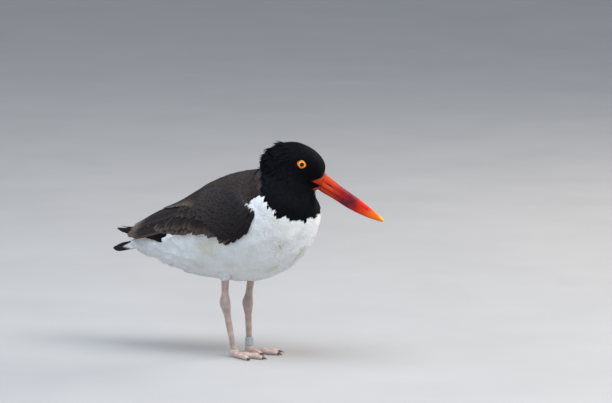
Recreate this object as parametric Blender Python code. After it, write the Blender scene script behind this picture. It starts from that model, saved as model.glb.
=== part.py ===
"""A standing American oystercatcher at life size, head turned to its left, with a ring on its left leg.

The body is lofted through planar sections from the tail root to the root of the bill, and parted by thin
cuts. Wings and tail carry their flight feathers as overlapping vanes. Lengths in this file are millimetres
until a mesh is made, and +X is the way the body faces, +Y its left side and +Z up.
"""

import math
from collections import namedtuple

import bmesh
import bpy
import numpy as np
from mathutils import Matrix, Vector

MM = 0.001
SIGN = {"right": -1, "left": 1}  # which side of the bird's own plane y = 0
GAP = 0.3  # between the faces of neighbouring nodes

# Body and head
NECK_X = 62.0  # the upright axis that the head turns about
HEAD_YAW = 35.0  # degrees to the bird's left
BODY_SIDES = 26

Section = namedtuple("Section", "name back belly half_width high yaw")
# back and belly are (forward, height); high shifts the widest level up (+) or down (-); yaw in degrees
SECTIONS = [
    Section("covert_tips", (-141, 119), (-142, 110.5), 13, 0, 0),
    Section("tail_root", (-127, 129), (-130, 104), 19, -0.05, 0),
    Section("rump", (-108, 145), (-112, 98.5), 25, -0.05, 0),
    Section("loin", (-80, 160), (-84, 90.5), 35, 0, 0),
    Section("thighs", (-45, 180), (-47, 84), 44, 0, 0),
    Section("middle", (-12, 194.5), (-10, 82), 50, 0, 0),
    Section("wing_roots", (10, 200.5), (28, 86), 52, 0, 0),
    Section("keel", (21, 204), (58, 99.5), 51.5, 0, 0),
    Section("breast", (26, 206.5), (80, 121), 48.5, 0, 0),
    Section("upper_breast", (29, 209), (93.4, 151.5), 44, 0, 4),
    Section("shoulders", (30.5, 211.5), (94, 163), 38, 0, 12),
    Section("neck", (31, 214), (92, 173), 31, 0.05, 24),
    Section("nape", (32.5, 218), (90.8, 179), 27.5, 0.1, 32),
    Section("occiput", (38, 226.5), (90.5, 182), 25, 0.15, HEAD_YAW),
    Section("hind_crown", (50.5, 234.8), (90.8, 184), 23.5, 0.2, HEAD_YAW),
    Section("crown", (67, 237.8), (91.5, 185.3), 22, 0.22, HEAD_YAW),
    Section("fore_crown", (84, 232.3), (92.4, 185.8), 19.5, 0.22, HEAD_YAW),
    Section("forehead", (97, 221.5), (93.2, 185.9), 15.5, 0.18, HEAD_YAW),
    Section("lores", (101.3, 211.5), (94, 185.7), 11.5, 0.1, HEAD_YAW),
    Section("bill_root", (100.5, 204.5), (94.8, 185.2), 8, 0.05, HEAD_YAW),
]


def spline(knots, values):
    """A natural cubic spline through the values, as a function of the knots' own parameter."""
    t = np.asarray(knots, float)
    v = np.asarray(values, float)
    n = len(t)
    h = np.diff(t)
    rows = np.eye(n)
    right = np.zeros((n,) + v.shape[1:])
    for i in range(1, n - 1):
        rows[i, i - 1 : i + 2] = h[i - 1], 2 * (h[i - 1] + h[i]), h[i]
        right[i] = 6 * ((v[i + 1] - v[i]) / h[i] - (v[i] - v[i - 1]) / h[i - 1])
    bend = np.linalg.solve(rows, right)

    def at(u):
        u = np.asarray(u, float)
        i = np.clip(np.searchsorted(t, u) - 1, 0, n - 2)
        tail = (1,) * (v.ndim - 1)
        step = h[i].reshape(h[i].shape + tail)
        a = ((t[i + 1] - u) / h[i]).reshape(step.shape)
        b = 1 - a
        curve = (a**3 - a) * bend[i] + (b**3 - b) * bend[i + 1]
        return a * v[i] + b * v[i + 1] + curve * step**2 / 6

    return at


def loft_through(sections):
    """point(s, angle) on the loft: s from 0 to 1 along it, and the angle from the back to the left side."""
    rows = np.array([(*s.back, *s.belly, s.half_width, s.high, s.yaw) for s in sections], float)
    middle = (rows[:, 0:2] + rows[:, 2:4]) / 2
    steps = np.linalg.norm(np.diff(middle, axis=0), axis=1)
    travel = np.linalg.norm(np.diff(rows[:, 0:2], axis=0), axis=1)
    reach = np.linalg.norm(np.diff(rows[:, 2:4], axis=0), axis=1)
    length = np.concatenate([[0], np.cumsum((steps + travel + reach) / 3)])
    shape = spline(length / length[-1], rows)

    def point(s, angle):
        row = shape(s)
        back, belly = row[..., 0:2], row[..., 2:4]
        half_width, high, yaw = row[..., 4], row[..., 5], np.radians(row[..., 6])
        centre, half = (back + belly) / 2, (back - belly) / 2
        up, side = np.cos(angle), np.sin(angle)
        forward = centre[..., 0] + half[..., 0] * up
        height = centre[..., 1] + half[..., 1] * up
        across = half_width * side * (1 + high * up)
        x = NECK_X + (forward - NECK_X) * np.cos(yaw) - across * np.sin(yaw)
        y = (forward - NECK_X) * np.sin(yaw) + across * np.cos(yaw)
        return np.stack([x, y, height], axis=-1)

    point.places = dict(zip([s.name for s in sections], length / length[-1]))
    return point


body = loft_through(SECTIONS)


# Folded wings, on a chart of the flank: x, and the share of the half girth from back to keel
WING_REAR = [
    Section("wing_tip", (-178, 128), (-178, 120), 9, -0.1, 0),
    Section("over_tail", (-148, 128.5), (-148, 112), 18, -0.1, 0),
    Section("over_rump", (-124, 139), (-124, 104), 26, -0.1, 0),
    Section("over_loin", (-102, 151), (-104, 97.5), 32, -0.05, 0),
]
WING_CHART = WING_REAR + SECTIONS[3:11]
FLESH_DEPTH = 4.0  # how far a plate of small feathers is let into the torso before it is cut back
SHAFT_RIDGE = 0.4
SEAT = 0.5  # height of a vane's underside where it lies in the plate below, so that no air is shut in
SEATED_LENGTH = 0.76  # share of a vane's length that is seated
VANE_THICKNESS = 0.75
SHINGLE = 0.22  # how much the lower edge of a vane lies over the next one below
EDGE_DROP = 0.35  # how much lower a vane's edges lie than its middle
TIER_CLIMB = 0.12  # how much further out the tip of each next vane of a tier lies
ROOT_FULLNESS = 0.55  # share of the full width that a vane has at its root
PLATE_RIM = 0.2  # share of its full height that a plate of small feathers has at its edges

# x of the stations, the core's upper and lower edges on the chart, and its height over the flank
CORE_X = (51, 47, 38, 22, 0, -25, -50, -75, -96, -112)
CORE_TOP = (0.455, 0.42, 0.34, 0.19, 0.13, 0.12, 0.11, 0.11, 0.13, 0.20)
CORE_LOW = (0.50, 0.535, 0.555, 0.565, 0.525, 0.50, 0.475, 0.45, 0.43, 0.36)
CORE_HEIGHT = (1.2, 2.2, 2.6, 2.4, 2.2, 2.0, 1.9, 1.7, 1.5, 1.0)
CORE_ACROSS = 7

# A tier of like vanes: how many, root and tip of its first and last vane on the chart, sizes in millimetres,
# heights at root and tip, segments, and the share of the length that tapers
Tier = namedtuple("Tier", "name count first_root first_tip last_root last_tip width lift segments point")
WING_TIERS = [
    Tier("primaries", 5, (-60, 0.46), (-118, 0.50), (-84, 0.38), (-156, 0.33), 12, (0.7, 1.4), 4, 0.6),
    Tier("secondaries", 7, (28, 0.41), (8, 0.565), (-60, 0.34), (-88, 0.445), 18, (1.3, 2.3), 4, 0.35),
    Tier("greater_coverts", 7, (36, 0.34), (12, 0.50), (-44, 0.27), (-74, 0.42), 17, (1.6, 3.2), 4, 0.35),
    Tier("tertials", 4, (-56, 0.32), (-114, 0.40), (-40, 0.17), (-139, 0.13), 18, (1.6, 3.2), 5, 0.6),
    Tier("scapulars", 5, (16, 0.27), (-36, 0.29), (-2, 0.16), (-80, 0.13), 18, (1.8, 4.0), 4, 0.5),
]
WING_REACH = {"right": 0.0, "left": 15.0}  # how much further back the primaries of each wing end

# Mantle: the saddle of dark feathers between the wings
MANTLE_X = (29.5, 25, 10, -15, -40, -65, -90, -112)
MANTLE_EDGE = (0.13, 0.165, 0.135, 0.10, 0.09, 0.085, 0.08, 0.05)
MANTLE_HEIGHT = (0.8, 2.6, 4.0, 4.4, 4.4, 4.0, 3.2, 1.6)

# Tail
FEATHERS_IN_TAIL = 12
TAIL_CUT_X = -121.0
TAIL_ROOT = (-122.5, 118.0)
RECTRIX_LENGTH = 48.0
RECTRIX_WIDTH = 14.0
TAIL_DROOP = 12.0  # degrees below level
TAIL_FAN = 13.0  # degrees that the outermost feather turns out
TAIL_STACK = 0.42  # each feather lies this much under the next one in
TAIL_SAG = 3.0  # how much lower the tips of the outermost pair hang than those of the middle pair

# Bill, in the upright plane of the head: culmen, mouth and lower edge, and the half width
BILL = [
    ((100.9, 204.2), (96.4, 190.2), (95.1, 185.0), 6.6),
    ((106.5, 199.2), (102.0, 186.6), (99.5, 182.0), 5.3),
    ((116.0, 191.4), (111.3, 181.0), (108.5, 176.8), 4.3),
    ((127.5, 182.9), (122.5, 174.4), (119.5, 169.6), 3.7),
    ((139.5, 174.4), (134.8, 167.6), (132.0, 162.4), 3.2),
    ((151.0, 165.2), (147.4, 160.9), (145.2, 156.3), 2.6),
    ((159.5, 157.9), (157.6, 155.3), (156.4, 152.3), 1.9),
    ((164.6, 153.2), (163.8, 151.8), (163.2, 150.4), 1.1),
]
BILL_ARC = 8
NOSTRIL_AT = (105.5, 190.8)
NOSTRIL_LENGTH, NOSTRIL_HEIGHT, NOSTRIL_DEPTH = 8.0, 1.3, 1.5
NOSTRIL_ACROSS = 4.9  # how far the middle of a nostril's slit lies from the head's plane

# Eyes, in the same plane
EYE_AT = (75.8, 215.9)
EYE_RADIUS = 5.3
EYE_BULGE = 1.6
LID_INNER = (4.6, 3.4)  # half length and half height of the opening between the lids
LID_OUTER = (6.3, 4.8)
LID_TILT = -18.0  # degrees that the front corner lies below the rear one
LID_AROUND = 22
HEAD_CURVE = 25.0  # radius of the head's side round the eye
HEAD_SAMPLES = (240, 160)  # places tried along and round the head to find what shows in side view

# Legs: feet on the floor at z = 0
LEG_SIDES = 12
HIP = (-4.5, 26.0, 98.0)
CUFF_BOTTOM = 84.5
# height, and half widths fore-and-aft and sideways of the feathered thigh
CUFF_STATIONS = [(118.0, 12.0, 8.0), (99.0, 8.8, 7.0), (91.0, 6.8, 5.9), (CUFF_BOTTOM, 5.0, 4.5)]
ANKLE = {"right": (-7.8, 22.0, 60.0), "left": (-8.7, 22.0, 54.6)}
FOOT = {"right": (1.5, 18.0), "left": (-3.7, 18.0)}
TARSUS_FOOT_Z = 6.8
# stations down the leg: share of the way, fore-and-aft and sideways half widths
TIBIA_STATIONS = [(0.0, 4.4, 3.8), (0.45, 4.1, 3.4), (0.72, 4.3, 3.6), (0.88, 5.6, 4.5)]
TARSUS_STATIONS = [
    (0.0, 6.3, 5.0),
    (0.10, 5.7, 4.6),
    (0.20, 4.5, 3.7),
    (0.45, 3.8, 3.0),
    (0.75, 3.4, 2.8),
    (0.90, 3.4, 3.0),
    (1.0, 3.55, 3.4),
]
TOES = {"inner": (27.0, -27.0), "middle": (38.0, 0.0), "outer": (32.0, 27.0)}  # length, degrees out
TOE_RADIUS = (3.4, 3.2, 2.9, 3.2, 2.7, 2.8, 2.1)
TOE_SIDES = 10
CLAW_LENGTH = 6.0
CLAW_RADIUS = 1.7
CLAW_ARCH, CLAW_DIP = 0.9, 1.55  # rise of the claw's middle line, and fall of its tip
CLAW_CLEAR = 0.15  # between a claw and the floor
SOLE_RADIUS = 5.2
WEB_REACH = 13.0
WEB_Z = (1.4, 2.6)  # underside and top of the web between middle and outer toe

# Leg ring
RING_Z = (7.5, 16.8)
RING_INNER, RING_OUTER = 3.9, 4.5
RING_SIDES = 24
RING_SLIT = 6.0  # degrees left open at the butt joint


def new_object(name, points, faces, material=None):
    """A mesh object from millimetre points, with its faces made to point outwards."""
    mesh = bpy.data.meshes.new(name)
    mesh.from_pydata([tuple(float(c) * MM for c in p) for p in points], [], faces)
    tidy(mesh)
    obj = bpy.data.objects.new(name, mesh)
    bpy.context.scene.collection.objects.link(obj)
    if material:
        mesh.materials.append(material)
    return obj


def tidy(mesh):
    """Merges doubled points and turns all faces outwards."""
    shell = bmesh.new()
    shell.from_mesh(mesh)
    bmesh.ops.remove_doubles(shell, verts=shell.verts, dist=1e-7)
    bmesh.ops.triangulate(shell, faces=[f for f in shell.faces if len(f.verts) > 4])
    bmesh.ops.recalc_face_normals(shell, faces=shell.faces)
    shell.to_mesh(mesh)
    shell.free()


def tube_faces(rings, sides):
    """Quads between successive closed rings, and one cap at each end."""
    faces = []
    for r in range(rings - 1):
        for k in range(sides):
            n = (k + 1) % sides
            faces.append((r * sides + k, r * sides + n, (r + 1) * sides + n, (r + 1) * sides + k))
    faces.append(tuple(range(sides)))
    faces.append(tuple((rings - 1) * sides + k for k in reversed(range(sides))))
    return faces


def tube(name, rings, material=None):
    """A closed tube through rings of points, an array of ring, side and coordinate."""
    rings = np.asarray(rings, float)
    count, sides = rings.shape[:2]
    return new_object(name, rings.reshape(-1, 3), tube_faces(count, sides), material)


def unit(v):
    """Vectors divided by their own length."""
    return v / np.maximum(np.linalg.norm(v, axis=-1, keepdims=True), 1e-12)


def path_tube(name, path, half_widths, sides, side_axis, material=None, floor=None):
    """A tube along a path with elliptical sections: half widths in the path's plane and along side_axis."""
    path, widths = np.asarray(path, float), np.asarray(half_widths, float)
    tangent = unit(np.gradient(path, axis=0))
    side = unit(np.asarray(side_axis, float) - tangent * (tangent @ side_axis)[:, None])
    front = np.cross(side, tangent)
    angle = np.linspace(0, 2 * math.pi, sides, endpoint=False) + math.pi / sides
    rings = (
        path[:, None]
        + widths[:, None, 0:1] * np.cos(angle)[None, :, None] * front[:, None]
        + widths[:, None, 1:2] * np.sin(angle)[None, :, None] * side[:, None]
    )
    if floor is not None:
        rings[..., 2] = np.maximum(rings[..., 2], floor)
    return tube(name, rings, material)


def boolean(target, others, operation, solver="MANIFOLD"):
    """Joins or cuts target with a collection of closed meshes, and removes them."""
    cutters = bpy.data.collections.new("cutters")
    for other in others:
        for home in list(other.users_collection):
            home.objects.unlink(other)
        cutters.objects.link(other)
    modifier = target.modifiers.new(operation.lower(), "BOOLEAN")
    modifier.operation, modifier.solver = operation, solver
    modifier.operand_type, modifier.collection = "COLLECTION", cutters
    graph = bpy.context.evaluated_depsgraph_get()
    made = bpy.data.meshes.new_from_object(target.evaluated_get(graph))
    target.modifiers.clear()
    target.data = made
    for other in others:
        bpy.data.objects.remove(other)
    bpy.data.collections.remove(cutters)
    return target


def join(target, others):
    """Target made one with the others, if there are any."""
    return boolean(target, others, "UNION") if others else target


def cut(target, others):
    """Target less the others, if there are any."""
    return boolean(target, others, "DIFFERENCE") if others else target


def keep_largest(obj):
    """Deletes all but the largest closed surface."""
    shell = bmesh.new()
    shell.from_mesh(obj.data)
    seen, groups = set(), []
    for vert in shell.verts:
        if vert in seen:
            continue
        group, front = {vert}, [vert]
        while front:
            for edge in front.pop().link_edges:
                for end in edge.verts:
                    if end not in group:
                        group.add(end)
                        front.append(end)
        seen |= group
        groups.append(group)
    groups.sort(key=len)
    for group in groups[:-1]:
        bmesh.ops.delete(shell, geom=list(group), context="VERTS")
    shell.to_mesh(obj.data)
    shell.free()
    return obj


def grown(obj, distance=GAP + 0.05):
    """A copy of a closed mesh with every point moved out along its normal."""
    copy = bpy.data.objects.new(obj.name + "_grown", obj.data.copy())
    bpy.context.scene.collection.objects.link(copy)
    shell = bmesh.new()
    shell.from_mesh(copy.data)
    shell.normal_update()
    for vert in shell.verts:
        vert.co += vert.normal * (distance * MM * vert.calc_shell_factor())
    shell.to_mesh(copy.data)
    shell.free()
    return copy


def sliced(obj, point, normal, name, material=None):
    """The part of a closed mesh on the far side of a plane, capped flat, as a new object."""
    shell = bmesh.new()
    shell.from_mesh(obj.data)
    whole = shell.verts[:] + shell.edges[:] + shell.faces[:]
    plane = Vector([float(c) * MM for c in point])
    made = bmesh.ops.bisect_plane(
        shell, geom=whole, plane_co=plane, plane_no=Vector(normal), clear_inner=True, dist=1e-6
    )
    rim = [e for e in made["geom_cut"] if isinstance(e, bmesh.types.BMEdge)]
    bmesh.ops.holes_fill(shell, edges=rim, sides=0)
    bmesh.ops.triangulate(shell, faces=[f for f in shell.faces if len(f.verts) > 4])
    bmesh.ops.recalc_face_normals(shell, faces=shell.faces)
    mesh = bpy.data.meshes.new(name)
    shell.to_mesh(mesh)
    shell.free()
    part = bpy.data.objects.new(name, mesh)
    bpy.context.scene.collection.objects.link(part)
    if material:
        mesh.materials.clear()
        mesh.materials.append(material)
    return part


def finish(name, colour, roughness, metallic=0.0):
    """A Principled BSDF material."""
    material = bpy.data.materials.new(name)
    material.use_nodes = True
    shader = material.node_tree.nodes["Principled BSDF"]
    shader.inputs["Base Color"].default_value = (*colour, 1)
    shader.inputs["Roughness"].default_value = roughness
    shader.inputs["Metallic"].default_value = metallic
    return material


def in_head(forward, height, across=0.0):
    """A point given in the head's upright plane, and across it to the left."""
    yaw = math.radians(HEAD_YAW)
    x = NECK_X + (forward - NECK_X) * math.cos(yaw) - across * math.sin(yaw)
    y = (forward - NECK_X) * math.sin(yaw) + across * math.cos(yaw)
    return np.array([x, y, height])


def cut_plane(place):
    """A point on the section at a place along the body, and the section's forward normal."""
    s = body.places[place]
    back, belly, left = body(s, 0.0), body(s, math.pi), body(s, math.pi / 2)
    normal = np.cross(back - belly, left - belly)
    return (back + belly) / 2, unit(-normal)


def make_body(looks):
    """Torso, neck, head and the covert-clad root of the tail, parted by thin cuts out of one loft."""
    at_sections = np.array(list(body.places.values()))
    s = np.sort(np.concatenate([at_sections, (at_sections[1:] + at_sections[:-1]) / 2]))
    angle = np.linspace(0, 2 * math.pi, BODY_SIDES, endpoint=False)
    whole = tube("whole", body(*np.meshgrid(s, angle, indexing="ij")))
    half_cut = GAP / 2
    tail_at, back_x = np.array([TAIL_CUT_X, 0, 0]), np.array([1.0, 0, 0])
    neck_at, neck_to = cut_plane("upper_breast")
    head_at, head_to = cut_plane("nape")
    rump = sliced(whole, tail_at - back_x * half_cut, -back_x, "tail", looks["white"])
    front = sliced(whole, tail_at + back_x * half_cut, back_x, "front")
    torso = sliced(front, neck_at - neck_to * half_cut, -neck_to, "torso", looks["white"])
    upper = sliced(front, neck_at + neck_to * half_cut, neck_to, "upper")
    neck = sliced(upper, head_at - head_to * half_cut, -head_to, "neck", looks["black"])
    head = sliced(upper, head_at + head_to * half_cut, head_to, "head", looks["black"])
    for spare in (whole, front, upper):
        bpy.data.objects.remove(spare)
    return torso, neck, head, rump


def make_cuffs(torso):
    """Feathered thighs that end flat where the bare legs begin, joined to the torso."""
    cuffs = []
    for side in ("right", "left"):
        path = [leg_point(side, height) for height, _, _ in CUFF_STATIONS]
        widths = [station[1:] for station in CUFF_STATIONS]
        cuff = path_tube("cuff", path, widths, LEG_SIDES, (0, 1, 0))
        level_end(cuff, CUFF_BOTTOM, -1)
        cuffs.append(cuff)
    return join(torso, cuffs)


def level_end(obj, height, side_of):
    """Makes the last ring at the upper (+1) or lower (-1) end of a tube flat at a height."""
    verts = sorted(obj.data.vertices, key=lambda v: -side_of * v.co.z)
    for vert in verts[:LEG_SIDES]:
        vert.co.z = height * MM


def leg_point(side, height):
    """The middle of the shank at a height, on the line from hip to ankle."""
    ankle = ANKLE[side]
    share = (HIP[2] - height) / (HIP[2] - ankle[2])
    x = HIP[0] + (ankle[0] - HIP[0]) * share
    y = HIP[1] + (ankle[1] - HIP[1]) * share
    return np.array([x, SIGN[side] * y, height])


def make_leg(side, looks):
    """The bare shank, ankle and tarsus of one leg."""
    top = leg_point(side, CUFF_BOTTOM - GAP)
    ankle = np.array(ANKLE[side]) * (1, SIGN[side], 1)
    foot = np.array([*FOOT[side], TARSUS_FOOT_Z]) * (1, SIGN[side], 1)
    path, widths = [], []
    for share, fore, across in TIBIA_STATIONS:
        path.append(top + (ankle - top) * share)
        widths.append((fore, across))
    for share, fore, across in TARSUS_STATIONS:
        path.append(ankle + (foot - ankle) * share)
        widths.append((fore, across))
    leg = path_tube(f"{side}_leg", path, widths, LEG_SIDES, (0, 1, 0), looks["leg"])
    level_end(leg, top[2], 1)
    level_end(leg, foot[2], -1)
    return leg


def toe_path(start, heading, length):
    """Stations of a toe: down from the sole to the floor and then level."""
    share = np.linspace(0, 1, len(TOE_RADIUS))
    radius = np.array(TOE_RADIUS)
    direction = np.array([math.cos(heading), math.sin(heading), 0])
    path = start + direction * (share * length)[:, None]
    path[:, 2] = radius * 0.82
    return path, direction


def make_foot(side, looks):
    """Three toes on a flat sole, with the small web between middle and outer toe, and their claws."""
    sign = SIGN[side]
    foot_x, foot_y = FOOT[side]
    start = np.array([foot_x, sign * foot_y, 0.0])
    top = TARSUS_FOOT_Z - GAP
    sole_rings = [(0.0, 0.86), (0.25, 1.0), (0.6, 1.0), (1.0, 0.86)]
    path = [start + np.array([0, 0, share * top]) for share, _ in sole_rings]
    widths = [(SOLE_RADIUS * w, SOLE_RADIUS * w) for _, w in sole_rings]
    foot = path_tube(f"{side}_foot", path, widths, LEG_SIDES, (0, 1, 0), looks["leg"])
    toes, claws, webbed = [], [], []
    for name, (length, outward) in TOES.items():
        heading = math.radians(outward) * sign
        path, direction = toe_path(start, heading, length)
        across = np.array([-direction[1], direction[0], 0])
        widths = [(r, r) for r in TOE_RADIUS]
        toes.append(path_tube("toe", path, widths, TOE_SIDES, across, floor=0.0))
        claws.append(make_claw(f"{side}_{name}_claw", path[-1], direction, looks))
        if name != "inner":
            webbed.append(start + direction * WEB_REACH)
    corners = [start, webbed[0], webbed[1]]
    web = [np.array([p[0], p[1], z]) for z in WEB_Z for p in corners]
    faces = [(0, 1, 2), (3, 4, 5), (0, 1, 4, 3), (1, 2, 5, 4), (2, 0, 3, 5)]
    toes.append(new_object("web", web, faces))
    return keep_largest(join(foot, toes)), claws


def make_claw(name, toe_end, direction, looks):
    """A short curved claw that meets the end of its toe."""
    share = np.linspace(0, 1, 5)
    start = toe_end + direction * GAP
    path = start + direction * (share * CLAW_LENGTH)[:, None]
    radius = CLAW_RADIUS * (1 - 0.82 * share**1.3)
    path[:, 2] = start[2] + CLAW_ARCH * np.sin(share * math.pi * 0.55) - CLAW_DIP * share**2
    path[:, 2] = np.maximum(path[:, 2], radius + CLAW_CLEAR)
    across = np.array([-direction[1], direction[0], 0])
    claw = path_tube(name, path, [(r, r * 0.9) for r in radius], 8, across, looks["claw"])
    front = sorted(claw.data.vertices, key=lambda v: v.co.to_3d().dot(Vector(direction)))
    for vert in front[:8]:
        slip = vert.co.dot(Vector(direction)) - Vector(start * MM).dot(Vector(direction))
        vert.co -= Vector(direction) * slip
    return claw


def make_ring(looks):
    """A flat metal band round the left tarsus, bent to a butt joint."""
    ankle = np.array(ANKLE["left"])
    foot = np.array([FOOT["left"][0], FOOT["left"][1], TARSUS_FOOT_Z])
    lean = unit(ankle - foot)
    middle = foot + lean * ((sum(RING_Z) / 2 - foot[2]) / lean[2])
    half = (RING_Z[1] - RING_Z[0]) / 2
    side = unit(np.cross(lean, [1.0, 0, 0]))
    front = np.cross(side, lean)
    open_half = math.radians(RING_SLIT) / 2
    angle = np.linspace(math.pi + open_half, 3 * math.pi - open_half, RING_SIDES)
    spokes = np.cos(angle)[:, None] * front + np.sin(angle)[:, None] * side
    corners = [(RING_INNER, -half), (RING_OUTER, -half), (RING_OUTER, half), (RING_INNER, half)]
    rings = np.stack([middle + spokes * r + lean * h for r, h in corners], axis=1)
    return tube("leg_ring", rings, looks["ring"])


def bill_half(name, upper, material):
    """One half of the bill: half ovals from the mouth line up to the culmen or down to the lower edge."""
    rings = []
    slot = GAP / 2
    for culmen, mouth, lower, half_width in BILL:
        mouth, end = np.array(mouth), np.array(culmen if upper else lower)
        away = unit(end - mouth)
        mouth = mouth + away * slot
        share = np.linspace(0, math.pi, BILL_ARC + 1)
        rise, across = np.sin(share) ** 0.8, np.cos(share) * half_width
        rings.append([in_head(*(mouth + (end - mouth) * r), a) for r, a in zip(rise, across)])
    return tube(name, rings, material)


def make_bill(looks):
    """Upper and lower bill with a slit nostril on each side."""
    upper = bill_half("upper_bill", True, looks["bill"])
    lower = bill_half("lower_bill", False, looks["bill"])
    slope = np.array(BILL[3][0]) - np.array(BILL[0][0])
    pitch = math.atan2(slope[1], slope[0])
    slits = []
    for sign in (-1, 1):
        share = np.linspace(-1, 1, 6)
        forward = NOSTRIL_AT[0] + share * NOSTRIL_LENGTH / 2 * math.cos(pitch)
        height = NOSTRIL_AT[1] + share * NOSTRIL_LENGTH / 2 * math.sin(pitch)
        across = sign * (NOSTRIL_ACROSS - 0.5 * share)
        path = [in_head(*place) for place in zip(forward, height, across)]
        size = [max(0.25, math.sqrt(1 - 0.94 * t * t)) for t in share]
        widths = [(NOSTRIL_HEIGHT / 2 * k, NOSTRIL_DEPTH * k) for k in size]
        side_axis = in_head(0, 0, 1) - in_head(0, 0, 0)
        slits.append(path_tube("nostril", path, widths, 8, side_axis))
    return keep_largest(cut(upper, slits)), lower


def on_head(forward, height, sign):
    """The point of the head's surface that shows at a place in side view, and its outward normal."""
    along_head = np.linspace(body.places["nape"], 1, HEAD_SAMPLES[0])
    round_head = sign * np.linspace(0.15, 0.9, HEAD_SAMPLES[1]) * math.pi
    s, angle = np.meshgrid(along_head, round_head, indexing="ij")
    points = body(s, angle)
    place = in_head(forward, height)
    across = in_head(0, 0, 1) - in_head(0, 0, 0)
    flat = points - place
    flat = flat - (flat @ across)[..., None] * across
    i, k = np.unravel_index(np.argmin((flat**2).sum(-1)), s.shape)
    along = points[min(i + 1, HEAD_SAMPLES[0] - 1), k] - points[max(i - 1, 0), k]
    around = points[i, min(k + 1, HEAD_SAMPLES[1] - 1)] - points[i, max(k - 1, 0)]
    normal = unit(np.cross(along, around))
    if normal @ across * sign < 0:
        normal = -normal
    return points[i, k], normal


def ball(name, centre, radius, material=None, segments=18, rings=10):
    """A ball with its poles up and down."""
    mesh = bpy.data.meshes.new(name)
    shell = bmesh.new()
    place = Matrix.Translation(Vector([float(c) * MM for c in centre]))
    bmesh.ops.create_uvsphere(
        shell, u_segments=segments, v_segments=rings, radius=radius * MM, matrix=place
    )
    shell.to_mesh(mesh)
    shell.free()
    obj = bpy.data.objects.new(name, mesh)
    bpy.context.scene.collection.objects.link(obj)
    if material:
        mesh.materials.append(material)
    return obj


def lid_rim(half, tilt, angle):
    """Offsets along and up an almond: an ellipse pinched at its front and rear corners, and turned."""
    along, up = half[0] * np.cos(angle), half[1] * np.sin(angle) * (0.72 + 0.28 * np.abs(np.sin(angle)))
    c, s = math.cos(tilt), math.sin(tilt)
    return np.stack([along * c - up * s, along * s + up * c], axis=-1)


def make_eye(side, head, looks):
    """An eyeball let into the head, and the almond ring of bare skin round it."""
    sign = SIGN[side]
    surface, normal = on_head(*EYE_AT, sign)
    centre = surface + normal * (EYE_BULGE - EYE_RADIUS)
    eye = ball(f"{side}_eye", centre, EYE_RADIUS, looks["eye"])
    up = unit(np.array([0, 0, 1.0]) - normal * normal[2])
    ahead = unit(np.cross(up, normal)) * -sign
    angle = np.linspace(0, 2 * math.pi, LID_AROUND, endpoint=False)
    tilt = math.radians(LID_TILT)
    clear = EYE_RADIUS + GAP + 0.1
    inner, outer = lid_rim(LID_INNER, tilt, angle), lid_rim(LID_OUTER, tilt, angle)

    def place(rim, height):
        return centre + rim[:, :1] * ahead + rim[:, 1:] * up + height[:, None] * normal

    on_ball = np.sqrt(clear**2 - (inner**2).sum(1))
    on_skin = EYE_RADIUS - EYE_BULGE - (outer**2).sum(1) / (2 * HEAD_CURVE)
    deep = inner * 1.12
    rings = np.stack(
        [
            place(inner, on_ball),
            place(inner * 0.6 + outer * 0.4, np.maximum(on_ball, on_skin) + 0.45),
            place(outer, on_skin + 0.15),
            place(outer * 0.97, on_skin - 1.3),
            place(deep, np.sqrt(clear**2 - (deep**2).sum(1))),
        ],
        axis=1,
    )
    sides = rings.shape[1]
    faces = []
    for r in range(LID_AROUND):
        q = (r + 1) % LID_AROUND
        for k in range(sides):
            n = (k + 1) % sides
            faces.append((r * sides + k, r * sides + n, q * sides + n, q * sides + k))
    lid = new_object(f"{side}_eyelids", rings.reshape(-1, 3), faces, looks["lid"])
    cut(lid, [ball("socket", centre, clear)])
    keep_largest(lid)
    cut(head, [ball("socket", centre, clear), grown(lid)])
    keep_largest(head)
    return eye, lid


class Flank:
    """The surface under a folded wing, charted by x and the share of the half girth, on one side."""

    def __init__(self, sections, sign):
        self.loft, self.sign = loft_through(sections), sign

    def at(self, x, share):
        """Points of the chart. The place along the loft is found by halving, because x grows along it."""
        x, share = np.broadcast_arrays(np.asarray(x, float), np.asarray(share, float))
        angle = self.sign * math.pi * share
        low, high = np.zeros(x.shape), np.full(x.shape, 0.97)
        for _ in range(32):
            middle = (low + high) / 2
            behind = self.loft(middle, angle)[..., 0] < x
            low, high = np.where(behind, middle, low), np.where(behind, high, middle)
        return self.loft((low + high) / 2, angle)

    def with_normal(self, x, share):
        """Points of the chart with the outward normals and the millimetres of girth for a whole share."""
        point = self.at(x, share)
        ahead = self.at(x + 0.5, share) - self.at(x - 0.5, share)
        down = (self.at(x, share + 0.004) - self.at(x, share - 0.004)) / 0.008
        normal = unit(np.cross(ahead, down)) * self.sign
        return point, normal, np.linalg.norm(down, axis=-1)


def plate(flank, name, x, edges, heights, across, material):
    """A plate of small feathers on the chart between two edges, let into the flank to be cut back later."""
    top, low = np.asarray(edges[0], float), np.asarray(edges[1], float)
    side = np.linspace(0, 1, across)
    share = top[:, None] + np.outer(low - top, side)
    grid_x = np.repeat(np.asarray(x, float)[:, None], across, axis=1)
    crown = PLATE_RIM + (1 - PLATE_RIM) * (1 - np.abs(2 * side - 1) ** 3)
    height = np.asarray(heights, float)[:, None] * crown
    point, normal, _ = flank.with_normal(grid_x, share)
    outer = point + normal * height[..., None]
    inner = point - normal * FLESH_DEPTH
    return tube(name, np.concatenate([outer, inner[:, ::-1]], axis=1), material)


def make_mantle(under, looks):
    """The saddle between the wings, cut back from all that lies under it."""
    flank = Flank(WING_CHART, 1)
    edge = np.array(MANTLE_EDGE)
    mantle = plate(flank, "mantle", MANTLE_X, (-edge, edge), MANTLE_HEIGHT, CORE_ACROSS, looks["brown"])
    for part in under:
        cut(mantle, [grown(part)])
    return keep_largest(mantle)


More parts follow.
